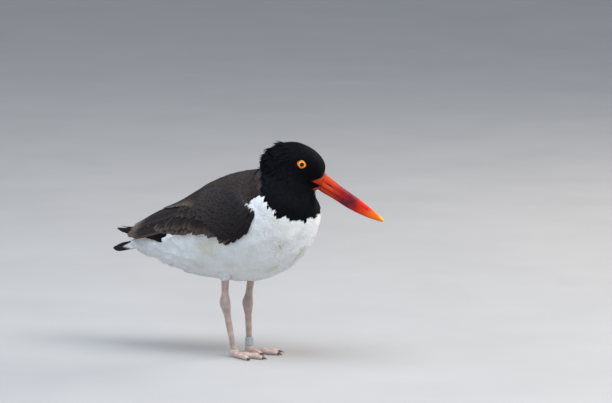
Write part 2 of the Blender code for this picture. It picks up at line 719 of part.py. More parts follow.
def vane(flank, root, tip, width, lift, segments, point):
    """A feather along the flank from root to tip, with a raised shaft, seated in the plate below."""
    t = np.linspace(0, 1, segments + 1)
    x = root[0] + (tip[0] - root[0]) * t
    share = root[1] + (tip[1] - root[1]) * t
    centre, _, girth = flank.with_normal(x, share)
    run = unit(np.stack([np.full_like(x, tip[0] - root[0]), (tip[1] - root[1]) * girth], axis=1))
    full = ROOT_FULLNESS + (1 - ROOT_FULLNESS) * np.clip(t / 0.35, 0, 1)
    taper = np.sqrt(np.clip(1 - (np.clip(t - (1 - point), 0, 1) / point) ** 2, 0.03, 1))
    half = width / 2 * full * taper
    height = lift[0] + (lift[1] - lift[0]) * np.sin(t * math.pi / 2)
    seated = (t < SEATED_LENGTH) & (x > CORE_X[-1] + 6)
    low_edge, high_edge = [], []
    for sign in (-1, 1):
        edge_x = x - sign * half * run[:, 1]
        edge_share = share + sign * half * run[:, 0] / girth
        edge, normal, _ = flank.with_normal(edge_x, np.clip(edge_share, 0.012, 0.9))
        raised = height - EDGE_DROP * half / (width / 2) - sign * SHINGLE
        under = np.where(seated, SEAT, raised)
        low_edge.append(edge + normal * under[:, None])
        high_edge.append(edge + normal * (raised + VANE_THICKNESS * np.where(t > 0.99, 0.7, 1))[:, None])
    shaft, normal, _ = flank.with_normal(x, np.clip(share, 0.02, 0.9))
    ridge = shaft + normal * (height + VANE_THICKNESS + SHAFT_RIDGE * (1 - t))[:, None]
    return tube("vane", np.stack([low_edge[0], low_edge[1], high_edge[1], ridge, high_edge[0]], axis=1))


def tier_vanes(flank, tier, reach):
    """The vanes of one tier, evenly between its first and its last."""
    vanes = []
    roots = np.linspace(tier.first_root, tier.last_root, tier.count)
    tips = np.linspace(tier.first_tip, tier.last_tip, tier.count)
    if tier.name == "primaries":
        tips[:, 0] -= reach
    for k, (root, tip) in enumerate(zip(roots, tips)):
        lift = (tier.lift[0], tier.lift[1] + TIER_CLIMB * k)
        vanes.append(vane(flank, root, tip, tier.width, lift, tier.segments, tier.point))
    return vanes


def make_wing(side, under, looks):
    """A folded wing: a plate with its tiers of vanes, cut back from all that lies under it."""
    flank = Flank(WING_CHART, SIGN[side])
    edges = (CORE_TOP, CORE_LOW)
    wing = plate(flank, f"{side}_wing", CORE_X, edges, CORE_HEIGHT, CORE_ACROSS, looks["brown"])
    vanes = [v for tier in WING_TIERS for v in tier_vanes(flank, tier, WING_REACH[side])]
    join(wing, vanes)
    for part in under:
        cut(wing, [grown(part)])
    return keep_largest(wing)


def make_tail(rump, looks):
    """Twelve tail feathers, the middle pair on top, rooted in the covert-clad tail root."""
    vanes = []
    droop = math.radians(TAIL_DROOP)
    for k in range(FEATHERS_IN_TAIL):
        i = k - (FEATHERS_IN_TAIL - 1) / 2
        share = i / ((FEATHERS_IN_TAIL - 1) / 2)
        turn = math.radians(TAIL_FAN) * share
        length = RECTRIX_LENGTH - 5.0 * share**2
        t = np.linspace(0, 1, 6)
        back = np.array([-math.cos(turn) * math.cos(droop), math.sin(turn), -math.sin(droop)])
        side = unit(np.cross([0, 0, 1.0], back))
        up = np.cross(back, side)
        start = np.array([TAIL_ROOT[0], i * 1.0, TAIL_ROOT[1] - TAIL_STACK * abs(i)])
        sag = np.outer(TAIL_SAG * abs(share) * t, (0, 0, 1.0))
        centre = start + back * (t * length)[:, None] - sag
        taper = np.sqrt(np.clip(1 - (np.clip(t - 0.72, 0, 1) / 0.28) ** 2, 0.12, 1))
        half = RECTRIX_WIDTH / 2 * (ROOT_FULLNESS + (1 - ROOT_FULLNESS) * np.clip(t / 0.4, 0, 1)) * taper
        one, two = centre - side * half[:, None], centre + side * half[:, None]
        top = up * VANE_THICKNESS * 0.8
        ridge = centre + top + up * (0.3 * (1 - t))[:, None]
        rings = np.stack([one, two, two + top, ridge, one + top], axis=1)
        vanes.append(tube("rectrix", rings))
    return keep_largest(join(rump, vanes))


def set_down(objects):
    """Moves the model so that its origin is on the floor under the middle of its box."""
    corners = np.array([v.co[:] for o in objects for v in o.data.vertices])
    low, high = corners.min(0), corners.max(0)
    shift = Vector((-(low[0] + high[0]) / 2, -(low[1] + high[1]) / 2, -low[2]))
    for obj in objects:
        obj.data.transform(Matrix.Translation(shift))


def own_finishes(objects):
    """Gives each object a material of its own, named after it."""
    for obj in objects:
        shared = obj.data.materials[0]
        obj.data.materials.clear()
        obj.data.materials.append(shared.copy())
        obj.data.materials[0].name = f"{obj.name}_{shared.name}"


def main():
    """Makes every part of the bird and sets it down."""
    for old in list(bpy.data.objects):
        bpy.data.objects.remove(old)
    looks = {
        "white": finish("white_feathers", (0.80, 0.80, 0.78), 0.9),
        "black": finish("black_feathers", (0.012, 0.012, 0.014), 0.8),
        "brown": finish("brown_feathers", (0.055, 0.042, 0.036), 0.75),
        "bill": finish("red_bill", (0.75, 0.07, 0.02), 0.35),
        "lid": finish("orange_lids", (0.85, 0.22, 0.02), 0.5),
        "eye": finish("yellow_eye", (0.85, 0.55, 0.05), 0.1),
        "leg": finish("pink_legs", (0.52, 0.38, 0.33), 0.6),
        "claw": finish("dark_claws", (0.05, 0.04, 0.04), 0.4),
        "ring": finish("ring_metal", (0.55, 0.57, 0.58), 0.4, 1.0),
    }
    torso, neck, head, rump = make_body(looks)
    make_cuffs(torso)
    parts = [torso, neck, head]
    tail = make_tail(rump, looks)
    mantle = make_mantle((torso, neck, tail), looks)
    parts.extend([tail, mantle])
    for side in SIGN:
        parts.append(make_wing(side, (torso, neck, tail, mantle), looks))
        parts.extend(make_eye(side, head, looks))
        parts.append(make_leg(side, looks))
        foot, claws = make_foot(side, looks)
        parts.extend([foot, *claws])
    parts.extend(make_bill(looks))
    parts.append(make_ring(looks))
    own_finishes(parts)
    set_down(parts)


if __name__ == "__main__":
    main()
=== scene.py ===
"""Looks of a standing American oystercatcher, laid out as a Blender add-on and run as a script.

One skin lies under the whole plumage. The coat over it is made of thin feathers that are grids on a chart
of the body, each with its own root, length and lie. Lengths are millimetres in the bird's own frame, with
+X the way the body faces, +Y its left side and +Z up, until a mesh is made. Meshes are in metres, in the
frame of the solids.
"""

import math
from collections import namedtuple

import bpy
import numpy as np
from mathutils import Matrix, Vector


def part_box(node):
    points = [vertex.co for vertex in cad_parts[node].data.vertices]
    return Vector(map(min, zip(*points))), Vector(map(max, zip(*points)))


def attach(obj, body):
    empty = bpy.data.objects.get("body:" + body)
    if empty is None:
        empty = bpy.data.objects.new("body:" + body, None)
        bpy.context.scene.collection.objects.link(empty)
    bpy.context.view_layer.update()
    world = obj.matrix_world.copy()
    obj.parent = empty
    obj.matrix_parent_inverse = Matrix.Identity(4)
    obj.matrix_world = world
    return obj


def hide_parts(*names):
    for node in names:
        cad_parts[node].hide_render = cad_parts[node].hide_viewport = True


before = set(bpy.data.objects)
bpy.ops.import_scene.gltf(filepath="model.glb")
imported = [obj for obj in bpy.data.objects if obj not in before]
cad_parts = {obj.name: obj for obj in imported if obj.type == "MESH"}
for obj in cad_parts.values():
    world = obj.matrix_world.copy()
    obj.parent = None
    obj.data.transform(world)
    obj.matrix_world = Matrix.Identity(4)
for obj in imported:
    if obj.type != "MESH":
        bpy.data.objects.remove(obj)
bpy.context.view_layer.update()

bl_info = {
    "name": "Oystercatcher",
    "version": (1, 0, 0),
    "blender": (4, 5, 0),
    "location": "3D View > Sidebar > Oystercatcher",
    "description": "Plumage, bill, eyes, legs and stage of a standing oystercatcher",
    "category": "Object",
}

MM = 0.001
SIDES = {"right": -1, "left": 1}
NECK_X = 62.0  # the upright axis that the head turns about
HEAD_YAW = math.radians(35.0)
TORSO_REAR_X = -120.85  # where the torso solid ends, in the bird's own frame

Section = namedtuple("Section", "name back belly half_width high yaw")
# back and belly are (forward, height); high shifts the widest level up (+) or down (-); yaw in degrees
SECTIONS = [
    Section("covert_tips", (-141, 119), (-142, 110.5), 13, 0, 0),
    Section("tail_root", (-127, 129), (-130, 104), 19, -0.05, 0),
    Section("rump", (-108, 145), (-112, 98.5), 25, -0.05, 0),
    Section("loin", (-80, 160), (-84, 90.5), 35, 0, 0),
    Section("thighs", (-45, 180), (-47, 84), 44, 0, 0),
    Section("middle", (-12, 194.5), (-10, 82), 50, 0, 0),
    Section("wing_roots", (10, 200.5), (28, 86), 52, 0, 0),
    Section("keel", (21, 204), (58, 99.5), 51.5, 0, 0),
    Section("breast", (26, 206.5), (80, 121), 48.5, 0, 0),
    Section("upper_breast", (29, 209), (93.4, 151.5), 44, 0, 4),
    Section("shoulders", (30.5, 211.5), (94, 163), 38, 0, 12),
    Section("neck", (31, 214), (92, 173), 31, 0.05, 24),
    Section("nape", (32.5, 218), (90.8, 179), 27.5, 0.1, 32),
    Section("occiput", (38, 226.5), (90.5, 182), 25, 0.15, 35),
    Section("hind_crown", (50.5, 234.8), (90.8, 184), 23.5, 0.2, 35),
    Section("crown", (67, 237.8), (91.5, 185.3), 22, 0.22, 35),
    Section("fore_crown", (84, 232.3), (92.4, 185.8), 19.5, 0.22, 35),
    Section("forehead", (97, 221.5), (93.2, 185.9), 15.5, 0.18, 35),
    Section("lores", (101.3, 211.5), (94, 185.7), 11.5, 0.1, 35),
    Section("bill_root", (100.5, 204.5), (94.8, 185.2), 8, 0.05, 35),
]
WING_REAR = [
    Section("wing_tip", (-178, 128), (-178, 120), 9, -0.1, 0),
    Section("over_tail", (-148, 128.5), (-148, 112), 18, -0.1, 0),
    Section("over_rump", (-124, 139), (-124, 104), 26, -0.1, 0),
    Section("over_loin", (-102, 151), (-104, 97.5), 32, -0.05, 0),
]

# Rise of the skin under a folded wing: x, lower and upper edge as shares of the half girth, and height
BED_X = (-178, -112, -80, -76, -64, -45, -20, 1, 5, 14, 25, 39, 45, 50, 53, 56)
BED_LOW = (
    0.36, 0.38, 0.43, 0.445, 0.47, 0.483, 0.51, 0.53,
    0.555, 0.575, 0.56, 0.553, 0.545, 0.52, 0.48, 0.46,
)
BED_TOP = (0, 0, 0, 0, 0, 0, 0, 0, 0, 0, 0.29, 0.385, 0.43, 0.466, 0.48, 0.46)
BED_HEIGHT = (0, 0.6, 1.5, 1.6, 1.7, 1.9, 2.2, 2.4, 2.4, 2.4, 2.4, 2.3, 1.9, 1.2, 0.5, 0)
# Rise of the skin under the mantle
MANTLE_X = (-178, -112, -90, -65, -40, -15, 10, 25, 31, 36)
MANTLE_RISE = (0.0, 0.8, 2.2, 3.0, 3.4, 3.4, 3.0, 1.8, 0.4, 0.0)
# Lower edge of the dark shoulders above the white spur
SHOULDER_X = (-120, -112, -60, -30, 10, 20, 28, 34, 41, 50, 55, 62)
SHOULDER_LOW = (0.05, 0.08, 0.13, 0.22, 0.275, 0.29, 0.308, 0.33, 0.366, 0.412, 0.44, 0.47)

# Lower edge of the brown part of the folded wing, with the bulge of the breast side
WING_LOW_X = (-112, -98, -77.5, -74, -64, -45, -20, 1, 5, 14, 25, 39, 44.5, 49.5, 52.5)
WING_LOW = (
    0.37, 0.40, 0.432, 0.442, 0.471, 0.483, 0.512, 0.530,
    0.556, 0.575, 0.565, 0.556, 0.546, 0.515, 0.499,
)
# Edges of the small coverts over the front of the wing
COVERT_LOW_X = (-50, -20, 0, 12, 25, 39, 44.5, 49.5, 52.5)
COVERT_LOW = (0.27, 0.33, 0.40, 0.50, 0.538, 0.532, 0.522, 0.497, 0.48)
COVERT_TOP_X = (-50, -20, 10, 22, 30, 34, 40, 45, 51, 53)
COVERT_TOP = (0.22, 0.21, 0.22, 0.285, 0.33, 0.355, 0.398, 0.436, 0.472, 0.49)

# Tiers of the wing's large feathers on the flank chart: root and tip of the first and of the last feather,
# width, heights at root and tip, share of the length that tapers, and tones
Tier = namedtuple("Tier", "name count first last width lift point tone edge")
WING_TIERS = [
    Tier("primaries", 4, ((-58, 0.45), (-95, 0.50)), ((-72, 0.42), (-114, 0.465)),
         11, (0.9, 2.0), 0.5, 0.15, 0.1),
    Tier("wing_tips", 3, ((-82, 0.36), (-158, 0.23)), ((-92, 0.28), (-163, 0.18)),
         10, (1.0, 2.2), 0.25, 0.15, 0),
    Tier("secondaries", 17, ((30, 0.41), (13, 0.582)), ((-66, 0.34), (-98, 0.43)),
         13, (1.3, 2.9), 0.3, 0.5, 0.75),
    Tier("greater_coverts", 19, ((32, 0.40), (12, 0.54)), ((-46, 0.27), (-76, 0.42)),
         12, (1.7, 3.5), 0.35, 0.3, 0.5),
    Tier("median_coverts", 17, ((31, 0.36), (14, 0.47)), ((-36, 0.235), (-60, 0.35)),
         11, (2.1, 3.9), 0.4, 0.2, 0.3),
    Tier("tertials", 8, ((-56, 0.34), (-138, 0.475)), ((-38, 0.16), (-136, 0.16)),
         13, (1.9, 4.0), 0.6, 0.5, 1.2),
    Tier("long_scapulars", 8, ((6, 0.26), (-40, 0.30)), ((-22, 0.13), (-96, 0.13)),
         14, (2.2, 4.6), 0.5, 0.5, 0.7),
]
BLACK_TIERS = ("primaries", "wing_tips")
FREE_TIERS = (*BLACK_TIERS, "tertials")  # those whose tips aren't held above the lower edge of the wing
WING_REACH = {"right": 2.0, "left": 9.0}  # how much further back the tier wing_tips ends on each side

# Widths of the largest feathers, then the spikes at the nape, the thighs' feathers and the loose ones
WHITE_WIDTH, HOOD_WIDTH, MANTLE_WIDTH, COVERT_WIDTH = 7.8, 5.0, 11.0, 9.5
SPIKE_LENGTH, SPIKE_WIDTH, SPIKE_LIFT = (6, 11), (1.6, 3.0), 3.8
THIGH_LENGTH, THIGH_NARROW = (5.0, 7.5), 0.55
LOOSE_SHARE, LOOSE_LIFT = 0.10, (0.5, 1.8)
TUCK = 1.2  # how much lower white feathers lie whose ends reach under the wing

# Seeds of the random draws
SEED_WHITE, SEED_HOOD, SEED_NAPE, SEED_MANTLE = 21, 31, 41, 51
SEED_WING, SEED_COVERTS, SEED_THIGH = 61, 71, 81

# Tail
FEATHERS_IN_TAIL = 12
TAIL_ROOT = (-116.0, 119.4)
RECTRIX_WIDTH = 14.0
OUTER_SHORTER = 5.0  # how much shorter the outermost feathers are
TAIL_DROOP = math.radians(12.0)
TAIL_FAN = math.radians(13.0)
TAIL_STACK = 0.42  # how far each feather lies below the next one inwards
TAIL_ARCH = math.radians(38.0)  # how far the outermost feathers are rolled down

# Lower border of the black hood: degrees round the body from the back to its left, and place along the body
HOOD_EDGE = [
    (-180, 0.770), (-169, 0.772), (-158, 0.765), (-144, 0.759), (-132, 0.757), (-125, 0.752), (-118, 0.742),
    (-108, 0.749), (-94, 0.746), (-80, 0.754), (-71, 0.765), (-61, 0.776), (-46, 0.785), (-25, 0.793),
    (0, 0.796), (30, 0.796), (63, 0.774), (94, 0.756), (118, 0.766), (142, 0.774), (171, 0.775), (180, 0.770),
]

# Bill, in the upright plane of the head: culmen, mouth and lower edge, and the half width
BILL = [
    ((100.9, 204.2), (96.4, 190.2), (95.1, 185.0), 6.6),
    ((106.5, 199.2), (102.0, 186.6), (99.5, 182.0), 5.3),
    ((116.0, 191.4), (111.3, 181.0), (108.5, 176.8), 4.3),
    ((127.5, 182.9), (122.5, 174.4), (119.5, 169.6), 3.7),
    ((139.5, 174.4), (134.8, 167.6), (132.0, 162.4), 3.2),
    ((151.0, 165.2), (147.4, 160.9), (145.2, 156.3), 2.6),
    ((159.5, 157.9), (157.6, 155.3), (156.4, 152.3), 1.9),
    ((164.6, 153.2), (163.8, 151.8), (163.2, 150.4), 1.1),
]
GAPE_SWELL, GAPE_SINK = 0.55, 0.35
BILL_COLOURS = (
    (0.0, "bill_base"), (0.14, "bill_base"), (0.33, "bill_middle"), (0.50, "bill_middle"),
    (0.60, "bill_red"), (0.74, "bill_red"), (0.87, "bill_orange"), (1.0, "bill_tip"),
)
NOSTRIL_AT = (0.115, 0.42)  # share along the bill and share of the rise from mouth to culmen
GAPE_UPPER = ((87.3, 196.3), (99.0, 200.5), (97.5, 190.6))  # corners of the bare skin behind the bill
GAPE_LOWER = ((87.8, 187.4), (97.5, 190.4), (95.6, 184.8))

# Eyes, in the same plane
EYE_AT = (75.8, 215.9)
EYE_RADIUS = 5.3
EYE_BULGE = 1.6
LID_INNER = (4.3, 3.1)  # half length and half height of the opening between the lids
LID_OUTER = (5.25, 3.85)
LID_TILT = math.radians(-18.0)
CORNEA_RISE = 0.35
LID_ROLL = (  # sections of the ring: share of the way from its inner to its outer edge, and height
    (0.0, -0.6), (0.0, 0.0), (0.15, 0.3), (0.4, 0.48), (0.65, 0.42), (0.85, 0.2), (1.0, -0.1), (0.98, -1.0),
)
HEAD_ROUND = 50.0  # twice the radius of the head's side round the eye
PUPIL_EDGE = (0.44, 0.47)  # angles from the eye's own pole
IRIS_EDGE = (0.92, 1.02)

# Legs: stations of cuff (height), shank and tarsus (share of the way down) with half length and half width
HIP = (-4.5, 26.0, 98.0)
CUFF_BOTTOM = 84.5
CUFF_STATIONS = [(118.0, 12.0, 8.0), (99.0, 8.8, 7.0), (91.0, 6.8, 5.9), (CUFF_BOTTOM, 5.0, 4.5)]
ANKLE = {"right": (-7.8, 22.0, 60.0), "left": (-8.7, 22.0, 54.6)}
FOOT = {"right": (1.5, 18.0), "left": (-3.7, 18.0)}
TARSUS_FOOT_Z = 6.8
TIBIA_STATIONS = [(0.0, 4.4, 3.8), (0.45, 4.1, 3.4), (0.72, 4.3, 3.6), (0.88, 5.6, 4.5)]
TARSUS_STATIONS = [
    (0.0, 6.3, 5.0),
    (0.10, 5.7, 4.6),
    (0.20, 4.5, 3.7),
    (0.45, 3.8, 3.0),
    (0.75, 3.4, 2.8),
    (0.90, 3.4, 3.0),
    (1.0, 3.55, 3.4),
]
# Toes: length and degrees outwards, and the radius at even steps along each
TOES = {"inner": (27.0, -27.0), "middle": (38.0, 0.0), "outer": (32.0, 27.0)}
TOE_RADIUS = (3.4, 3.2, 2.9, 3.2, 2.7, 2.8, 2.1)
TOE_SINK = 0.82  # height of a toe's middle line, as a share of its radius
SHANK_STEP = 0.42
SCALE_SIZE, SCALE_DEPTH = 2.1, 0.17
SCUTE_LENGTH, SCUTE_DEPTH = 2.2, 0.2
SOLE_RADIUS, SOLE_SPREAD, SOLE_HEIGHT = 3.4, 1.9, 8.2
WEB_REACH, WEB_BAY = 14.5, 5.0  # how far the web reaches, and how far its edge curves in
WEB_TOP, WEB_SAG, WEB_THICKNESS = 2.6, 0.9, 0.9
CLAW_LENGTH = 6.0
CLAW_RADIUS = 1.7
RING_Z = (7.5, 16.8)
RING_INNER, RING_OUTER = 3.9, 4.5
RING_SLIT = math.radians(6.0)
RING_CORNER = 0.22  # power of the rounded rectangle: 1 would be an ellipse, 0 a sharp rectangle

# The view of the photograph: millimetres to the right and up of the bird's origin at the picture's centre
VIEW_CENTRE = (69.2, 167.3)
VIEW_TURN = math.radians(35.0)
VIEW_TILT = math.radians(7.0)
VIEW_DISTANCE = 7000.0
VIEW_LENS = 377.0
SENSOR_WIDTH = 36.0
CLIP_END = 60.0

# Lights: metres to the right of the bird, towards the camera and up, width, share of the key's power, colour
Lamp = namedtuple("Lamp", "name right toward high size share colour")
LAMPS = [
    Lamp("key_light", 1.3, 0.9, 2.0, 1.6, 1.0, (1.0, 0.95, 0.88)),
    Lamp("sky_light", -0.8, 0.5, 2.6, 2.6, 1.25, (0.72, 0.86, 1.0)),
    Lamp("rim_light", 1.6, -1.3, 1.1, 1.0, 0.45, (1.0, 0.86, 0.72)),
]
LAMP_AIM = (0.0, 0.0, 0.13)
SKY_COLOUR = (0.80, 0.88, 1.0, 1)
# The floor in metres: half width, where it starts and where it turns up, the bend's radius and its height
FLOOR_REACH, FLOOR_START, FLOOR_END, FLOOR_BEND, FLOOR_TOP = 12.0, -12.0, 8.5, 1.6, 7.0

# Spreading of roots: steps of an even sequence over a square, and the grid that carries the weights
EVEN_STEPS = (0.7548776662466927, 0.5698402909980532)
WEIGHT_GRID = (420, 300)
PATCH = 0.003  # side of a feather's patch on the unwrap of a coat
END_CAP = 0.02  # the last ring of a tube, as a share of the ring before it
FAR_OFF = 99.0
RIPPLE_WAVES, RIPPLE_PEAK = 6, 3.2
# How deep the skin lies in the coat: on body and head over the least depth, the least depth, and at bare skin
BODY_DEPTH, HEAD_DEPTH, LEAST_DEPTH, BARE_DEPTH = 1.4, 1.1, 0.4, 0.3
UP = np.array([0, 0, 1.0])
PUPIL_BLACK = np.array([0.004, 0.004, 0.005])
IRIS_RIM = np.array([0.05, 0.02, 0.01])
# Painted shade inside the nostril slit of the upper bill
NOSTRIL_SHADE = np.array([0.03, 0.008, 0.006])


# Numbers on arrays


def unit(v):
    """Vectors divided by their own length."""
    return v / np.maximum(np.linalg.norm(v, axis=-1, keepdims=True), 1e-12)


def smooth(low, high, value):
    """A step from 0 to 1, level at both ends: 3u^2 - 2u^3 of the share u of the way from low to high."""
    u = np.clip((np.asarray(value, float) - low) / (high - low), 0, 1)
    return u * u * (3 - 2 * u)


def blend(a, b, share):
    """Straight from a to b as the share goes from 0 to 1, with an axis added to it where a holds colours."""
    share = np.asarray(share, float)
    if np.ndim(a) and np.shape(a)[-1] == 3 and share.ndim and share.shape[-1:] != (1,):
        share = share[..., None]
    return np.asarray(a) * (1 - share) + np.asarray(b) * share


def ripple(points, size, seed):
    """Soft lumps over space, about -1 to 1 and size mm apart: a sum of sines along seeded directions."""
    draw = np.random.default_rng(seed)
    total = 0
    for _ in range(RIPPLE_WAVES):
        way = unit(draw.normal(size=3)) * 2 * math.pi / (size * draw.uniform(0.7, 1.4))
        total = total + np.sin(points @ way + draw.uniform(0, 2 * math.pi))
    return total / RIPPLE_PEAK


def lattice(p, q):
    """Every pair of the values of p and q, as two arrays."""
    return np.meshgrid(p, q, indexing="ij")


def turns(count):
    """Angles of a full turn in equal steps, without the last."""
    return np.linspace(0, 2 * math.pi, count, endpoint=False)


def spline(knots, values):
    """A natural cubic spline through the values, as a function of the knots' own parameter."""
    t = np.asarray(knots, float)
    v = np.asarray(values, float)
    n = len(t)
    h = np.diff(t)
    rows = np.eye(n)
    right = np.zeros((n,) + v.shape[1:])
    for i in range(1, n - 1):
        rows[i, i - 1 : i + 2] = h[i - 1], 2 * (h[i - 1] + h[i]), h[i]
        right[i] = 6 * ((v[i + 1] - v[i]) / h[i] - (v[i] - v[i - 1]) / h[i - 1])
    bend = np.linalg.solve(rows, right)

    def at(u):
        """The spline at u: straight between two knots, plus the cubic share of the bends at both."""
        u = np.asarray(u, float)
        i = np.clip(np.searchsorted(t, u) - 1, 0, n - 2)
        step = h[i].reshape(h[i].shape + (1,) * (v.ndim - 1))
        a = ((t[i + 1] - u) / h[i]).reshape(step.shape)
        b = 1 - a
        curve = (a**3 - a) * bend[i] + (b**3 - b) * bend[i + 1]
        return a * v[i] + b * v[i + 1] + curve * step**2 / 6

    return at


def loft_through(sections):
    """point(s, angle) on the loft: s runs from 0 to 1 along it, the angle from the back towards the left.

    A section is the ellipse centre + half * cos(angle) up and half width * sin(angle) across, which is widest
    above or below its middle where high isn't 0, and is turned about the neck's axis by the yaw. Sections
    follow each other on cubic splines.
    """
    rows = np.array([(*s.back, *s.belly, s.half_width, s.high, s.yaw) for s in sections], float)
    middle = (rows[:, 0:2] + rows[:, 2:4]) / 2
    steps = np.linalg.norm(np.diff(middle, axis=0), axis=1)
    travel = np.linalg.norm(np.diff(rows[:, 0:2], axis=0), axis=1)
    reach = np.linalg.norm(np.diff(rows[:, 2:4], axis=0), axis=1)
    length = np.concatenate([[0], np.cumsum((steps + travel + reach) / 3)])
    shape = spline(length / length[-1], rows)

    def point(s, angle):
        """Points of the loft, as arrays."""
        row = shape(s)
        back, belly = row[..., 0:2], row[..., 2:4]
        half_width, high, yaw = row[..., 4], row[..., 5], np.radians(row[..., 6])
        centre, half = (back + belly) / 2, (back - belly) / 2
        up, side = np.cos(angle), np.sin(angle)
        forward = centre[..., 0] + half[..., 0] * up
        height = centre[..., 1] + half[..., 1] * up
        across = half_width * side * (1 + high * up)
        x = NECK_X + (forward - NECK_X) * np.cos(yaw) - across * np.sin(yaw)
        y = (forward - NECK_X) * np.sin(yaw) + across * np.cos(yaw)
        return np.stack([x, y, height], axis=-1)

    point.places = dict(zip([s.name for s in sections], length / length[-1]))
    return point


body = loft_through(SECTIONS)
wing_loft = loft_through(WING_REAR + SECTIONS[3:11])
PLACE = body.places


def flank_point(x, share):
    """The wing loft by x and signed share of the half girth; the place along it is found by halving."""
    angle = math.pi * share
    low, high = np.zeros(x.shape), np.full(x.shape, 0.97)
    for _ in range(26):
        middle = (low + high) / 2
        behind = wing_loft(middle, angle)[..., 0] < x
        low, high = np.where(behind, middle, low), np.where(behind, high, middle)
    return wing_loft((low + high) / 2, angle)


class Chart:
    """A surface sampled on a grid of two parameters p and q, and read between samples by bilinear blending.

    Each sample holds the point, the outward normal (the cross product of the steps along p and q) and the
    millimetres moved for a unit of p and of q.
    """

    def __init__(self, surface, p_range, q_range, counts):
        """Samples the surface at counts places between the ends of both ranges."""
        p, q = np.linspace(*p_range, counts[0]), np.linspace(*q_range, counts[1])
        self.p_range, self.q_range, self.counts = p_range, q_range, counts
        point = surface(*lattice(p, q))
        along, around = np.gradient(point, p, axis=0), np.gradient(point, q, axis=1)
        normal = unit(np.cross(along, around))
        sizes = [np.linalg.norm(v, axis=-1)[..., None] for v in (along, around)]
        self.table = np.concatenate([point, normal, *sizes], axis=-1)

    def read(self, p, q):
        """Points, normals, and millimetres for a unit of p and of q."""
        u = (p - self.p_range[0]) / (self.p_range[1] - self.p_range[0]) * (self.counts[0] - 1)
        v = (q - self.q_range[0]) / (self.q_range[1] - self.q_range[0]) * (self.counts[1] - 1)
        u, v = np.clip(u, 0, self.counts[0] - 1.001), np.clip(v, 0, self.counts[1] - 1.001)
        i, k = u.astype(int), v.astype(int)
        a, b = (u - i)[..., None], (v - k)[..., None]
        t = self.table
        near = t[i, k] * (1 - a) + t[i + 1, k] * a
        far = t[i, k + 1] * (1 - a) + t[i + 1, k + 1] * a
        row = near * (1 - b) + far * b
        return row[..., 0:3], unit(row[..., 3:6]), row[..., 6], row[..., 7]


body_chart = Chart(body, (0.0, 1.0), (-1.25 * math.pi, 1.25 * math.pi), (520, 361))
flank_chart = Chart(flank_point, (-178.0, 55.0), (-0.96, 0.96), (234, 193))


def head_plane(points):
    """Forward and height of points in the head's upright plane, and how far they lie to its left."""
    c, s = math.cos(HEAD_YAW), math.sin(HEAD_YAW)
    x, y = points[..., 0] - NECK_X, points[..., 1]
    return NECK_X + x * c + y * s, points[..., 2], y * c - x * s


def in_head(forward, height, across=0.0):
    """Points given in the head's upright plane, and across it to the left."""
    c, s = math.cos(HEAD_YAW), math.sin(HEAD_YAW)
    forward, height, across = np.broadcast_arrays(forward, height, across)
    x = NECK_X + (forward - NECK_X) * c - across * s
    y = (forward - NECK_X) * s + across * c
    return np.stack([x, y, height], axis=-1).astype(float)


def on_head(forward, height, side):
    """Points and outward normals of the head's surface at places of its side view, by the nearest sample."""
    s, angle = lattice(np.linspace(PLACE["nape"], 1, 300), side * np.linspace(0.1, 0.95, 200) * math.pi)
    point, normal, _, _ = body_chart.read(s, angle)
    seen_forward, seen_height, _ = head_plane(point)
    flat = np.stack([seen_forward.ravel(), seen_height.ravel()], axis=1)
    wanted = np.stack([np.ravel(forward), np.ravel(height)], axis=1).astype(float)
    nearest = np.array([np.argmin(((flat - w) ** 2).sum(1)) for w in wanted])
    shape = np.shape(forward) + (3,)
    return point.reshape(-1, 3)[nearest].reshape(shape), normal.reshape(-1, 3)[nearest].reshape(shape)


# Meshes and materials


def origin_shift():
    """From the bird's own frame to that of the solids, read from the box of the torso, in millimetres."""
    low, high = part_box("torso")
    return np.array([low.x / MM - TORSO_REAR_X, (low.y + high.y) / 2 / MM, 0.0])


SHIFT = origin_shift()


def new_piece(name, points, faces, material, tint=None, maps=None):
    """A mesh object in metres from points in millimetres and arrays of faces, with its colours and UV maps.

    tint is a colour for each point, stored as the attribute "tint"; maps holds two numbers for each point.
    """
    points = (np.asarray(points, float).reshape(-1, 3) + SHIFT) * MM
    mesh = bpy.data.meshes.new(name)
    corners = np.concatenate([np.asarray(f, np.int32).ravel() for f in faces])
    sizes = np.concatenate([np.full(len(f), np.shape(f)[1], np.int32) for f in faces])
    mesh.vertices.add(len(points))
    mesh.vertices.foreach_set("co", points.astype(np.float32).ravel())
    mesh.loops.add(len(corners))
    mesh.loops.foreach_set("vertex_index", corners)
    mesh.polygons.add(len(sizes))
    mesh.polygons.foreach_set("loop_start", np.concatenate([[0], np.cumsum(sizes)[:-1]]).astype(np.int32))
    mesh.polygons.foreach_set("use_smooth", np.full(len(sizes), True))
    mesh.update(calc_edges=True)
    if tint is not None:
        colour = np.ones((len(points), 4), np.float32)
        colour[:, :3] = np.clip(np.asarray(tint).reshape(-1, 3), 0, 1)
        mesh.attributes.new("tint", "FLOAT_COLOR", "POINT").data.foreach_set("color", colour.ravel())
    for map_name, values in (maps or {}).items():
        values = np.asarray(values, np.float32).reshape(-1, 2)[corners]
        mesh.uv_layers.new(name=map_name).data.foreach_set("uv", values.ravel())
    mesh.validate()
    mesh.materials.append(material)
    obj = bpy.data.objects.new(name, mesh)
    bpy.context.scene.collection.objects.link(obj)
    return obj


def grid_faces(rows, cols, count=1, closed=False):
    """Quads of count grids of rows by cols points; the last column joins the first where closed."""
    r, c = np.arange(rows - 1)[:, None] * cols, np.arange(cols if closed else cols - 1)[None, :]
    n = (c + 1) % cols
    quad = np.stack([r + c, r + n, r + cols + n, r + cols + c], axis=-1).reshape(-1, 4)
    return (quad[None] + (np.arange(count) * rows * cols)[:, None, None]).reshape(-1, 4)


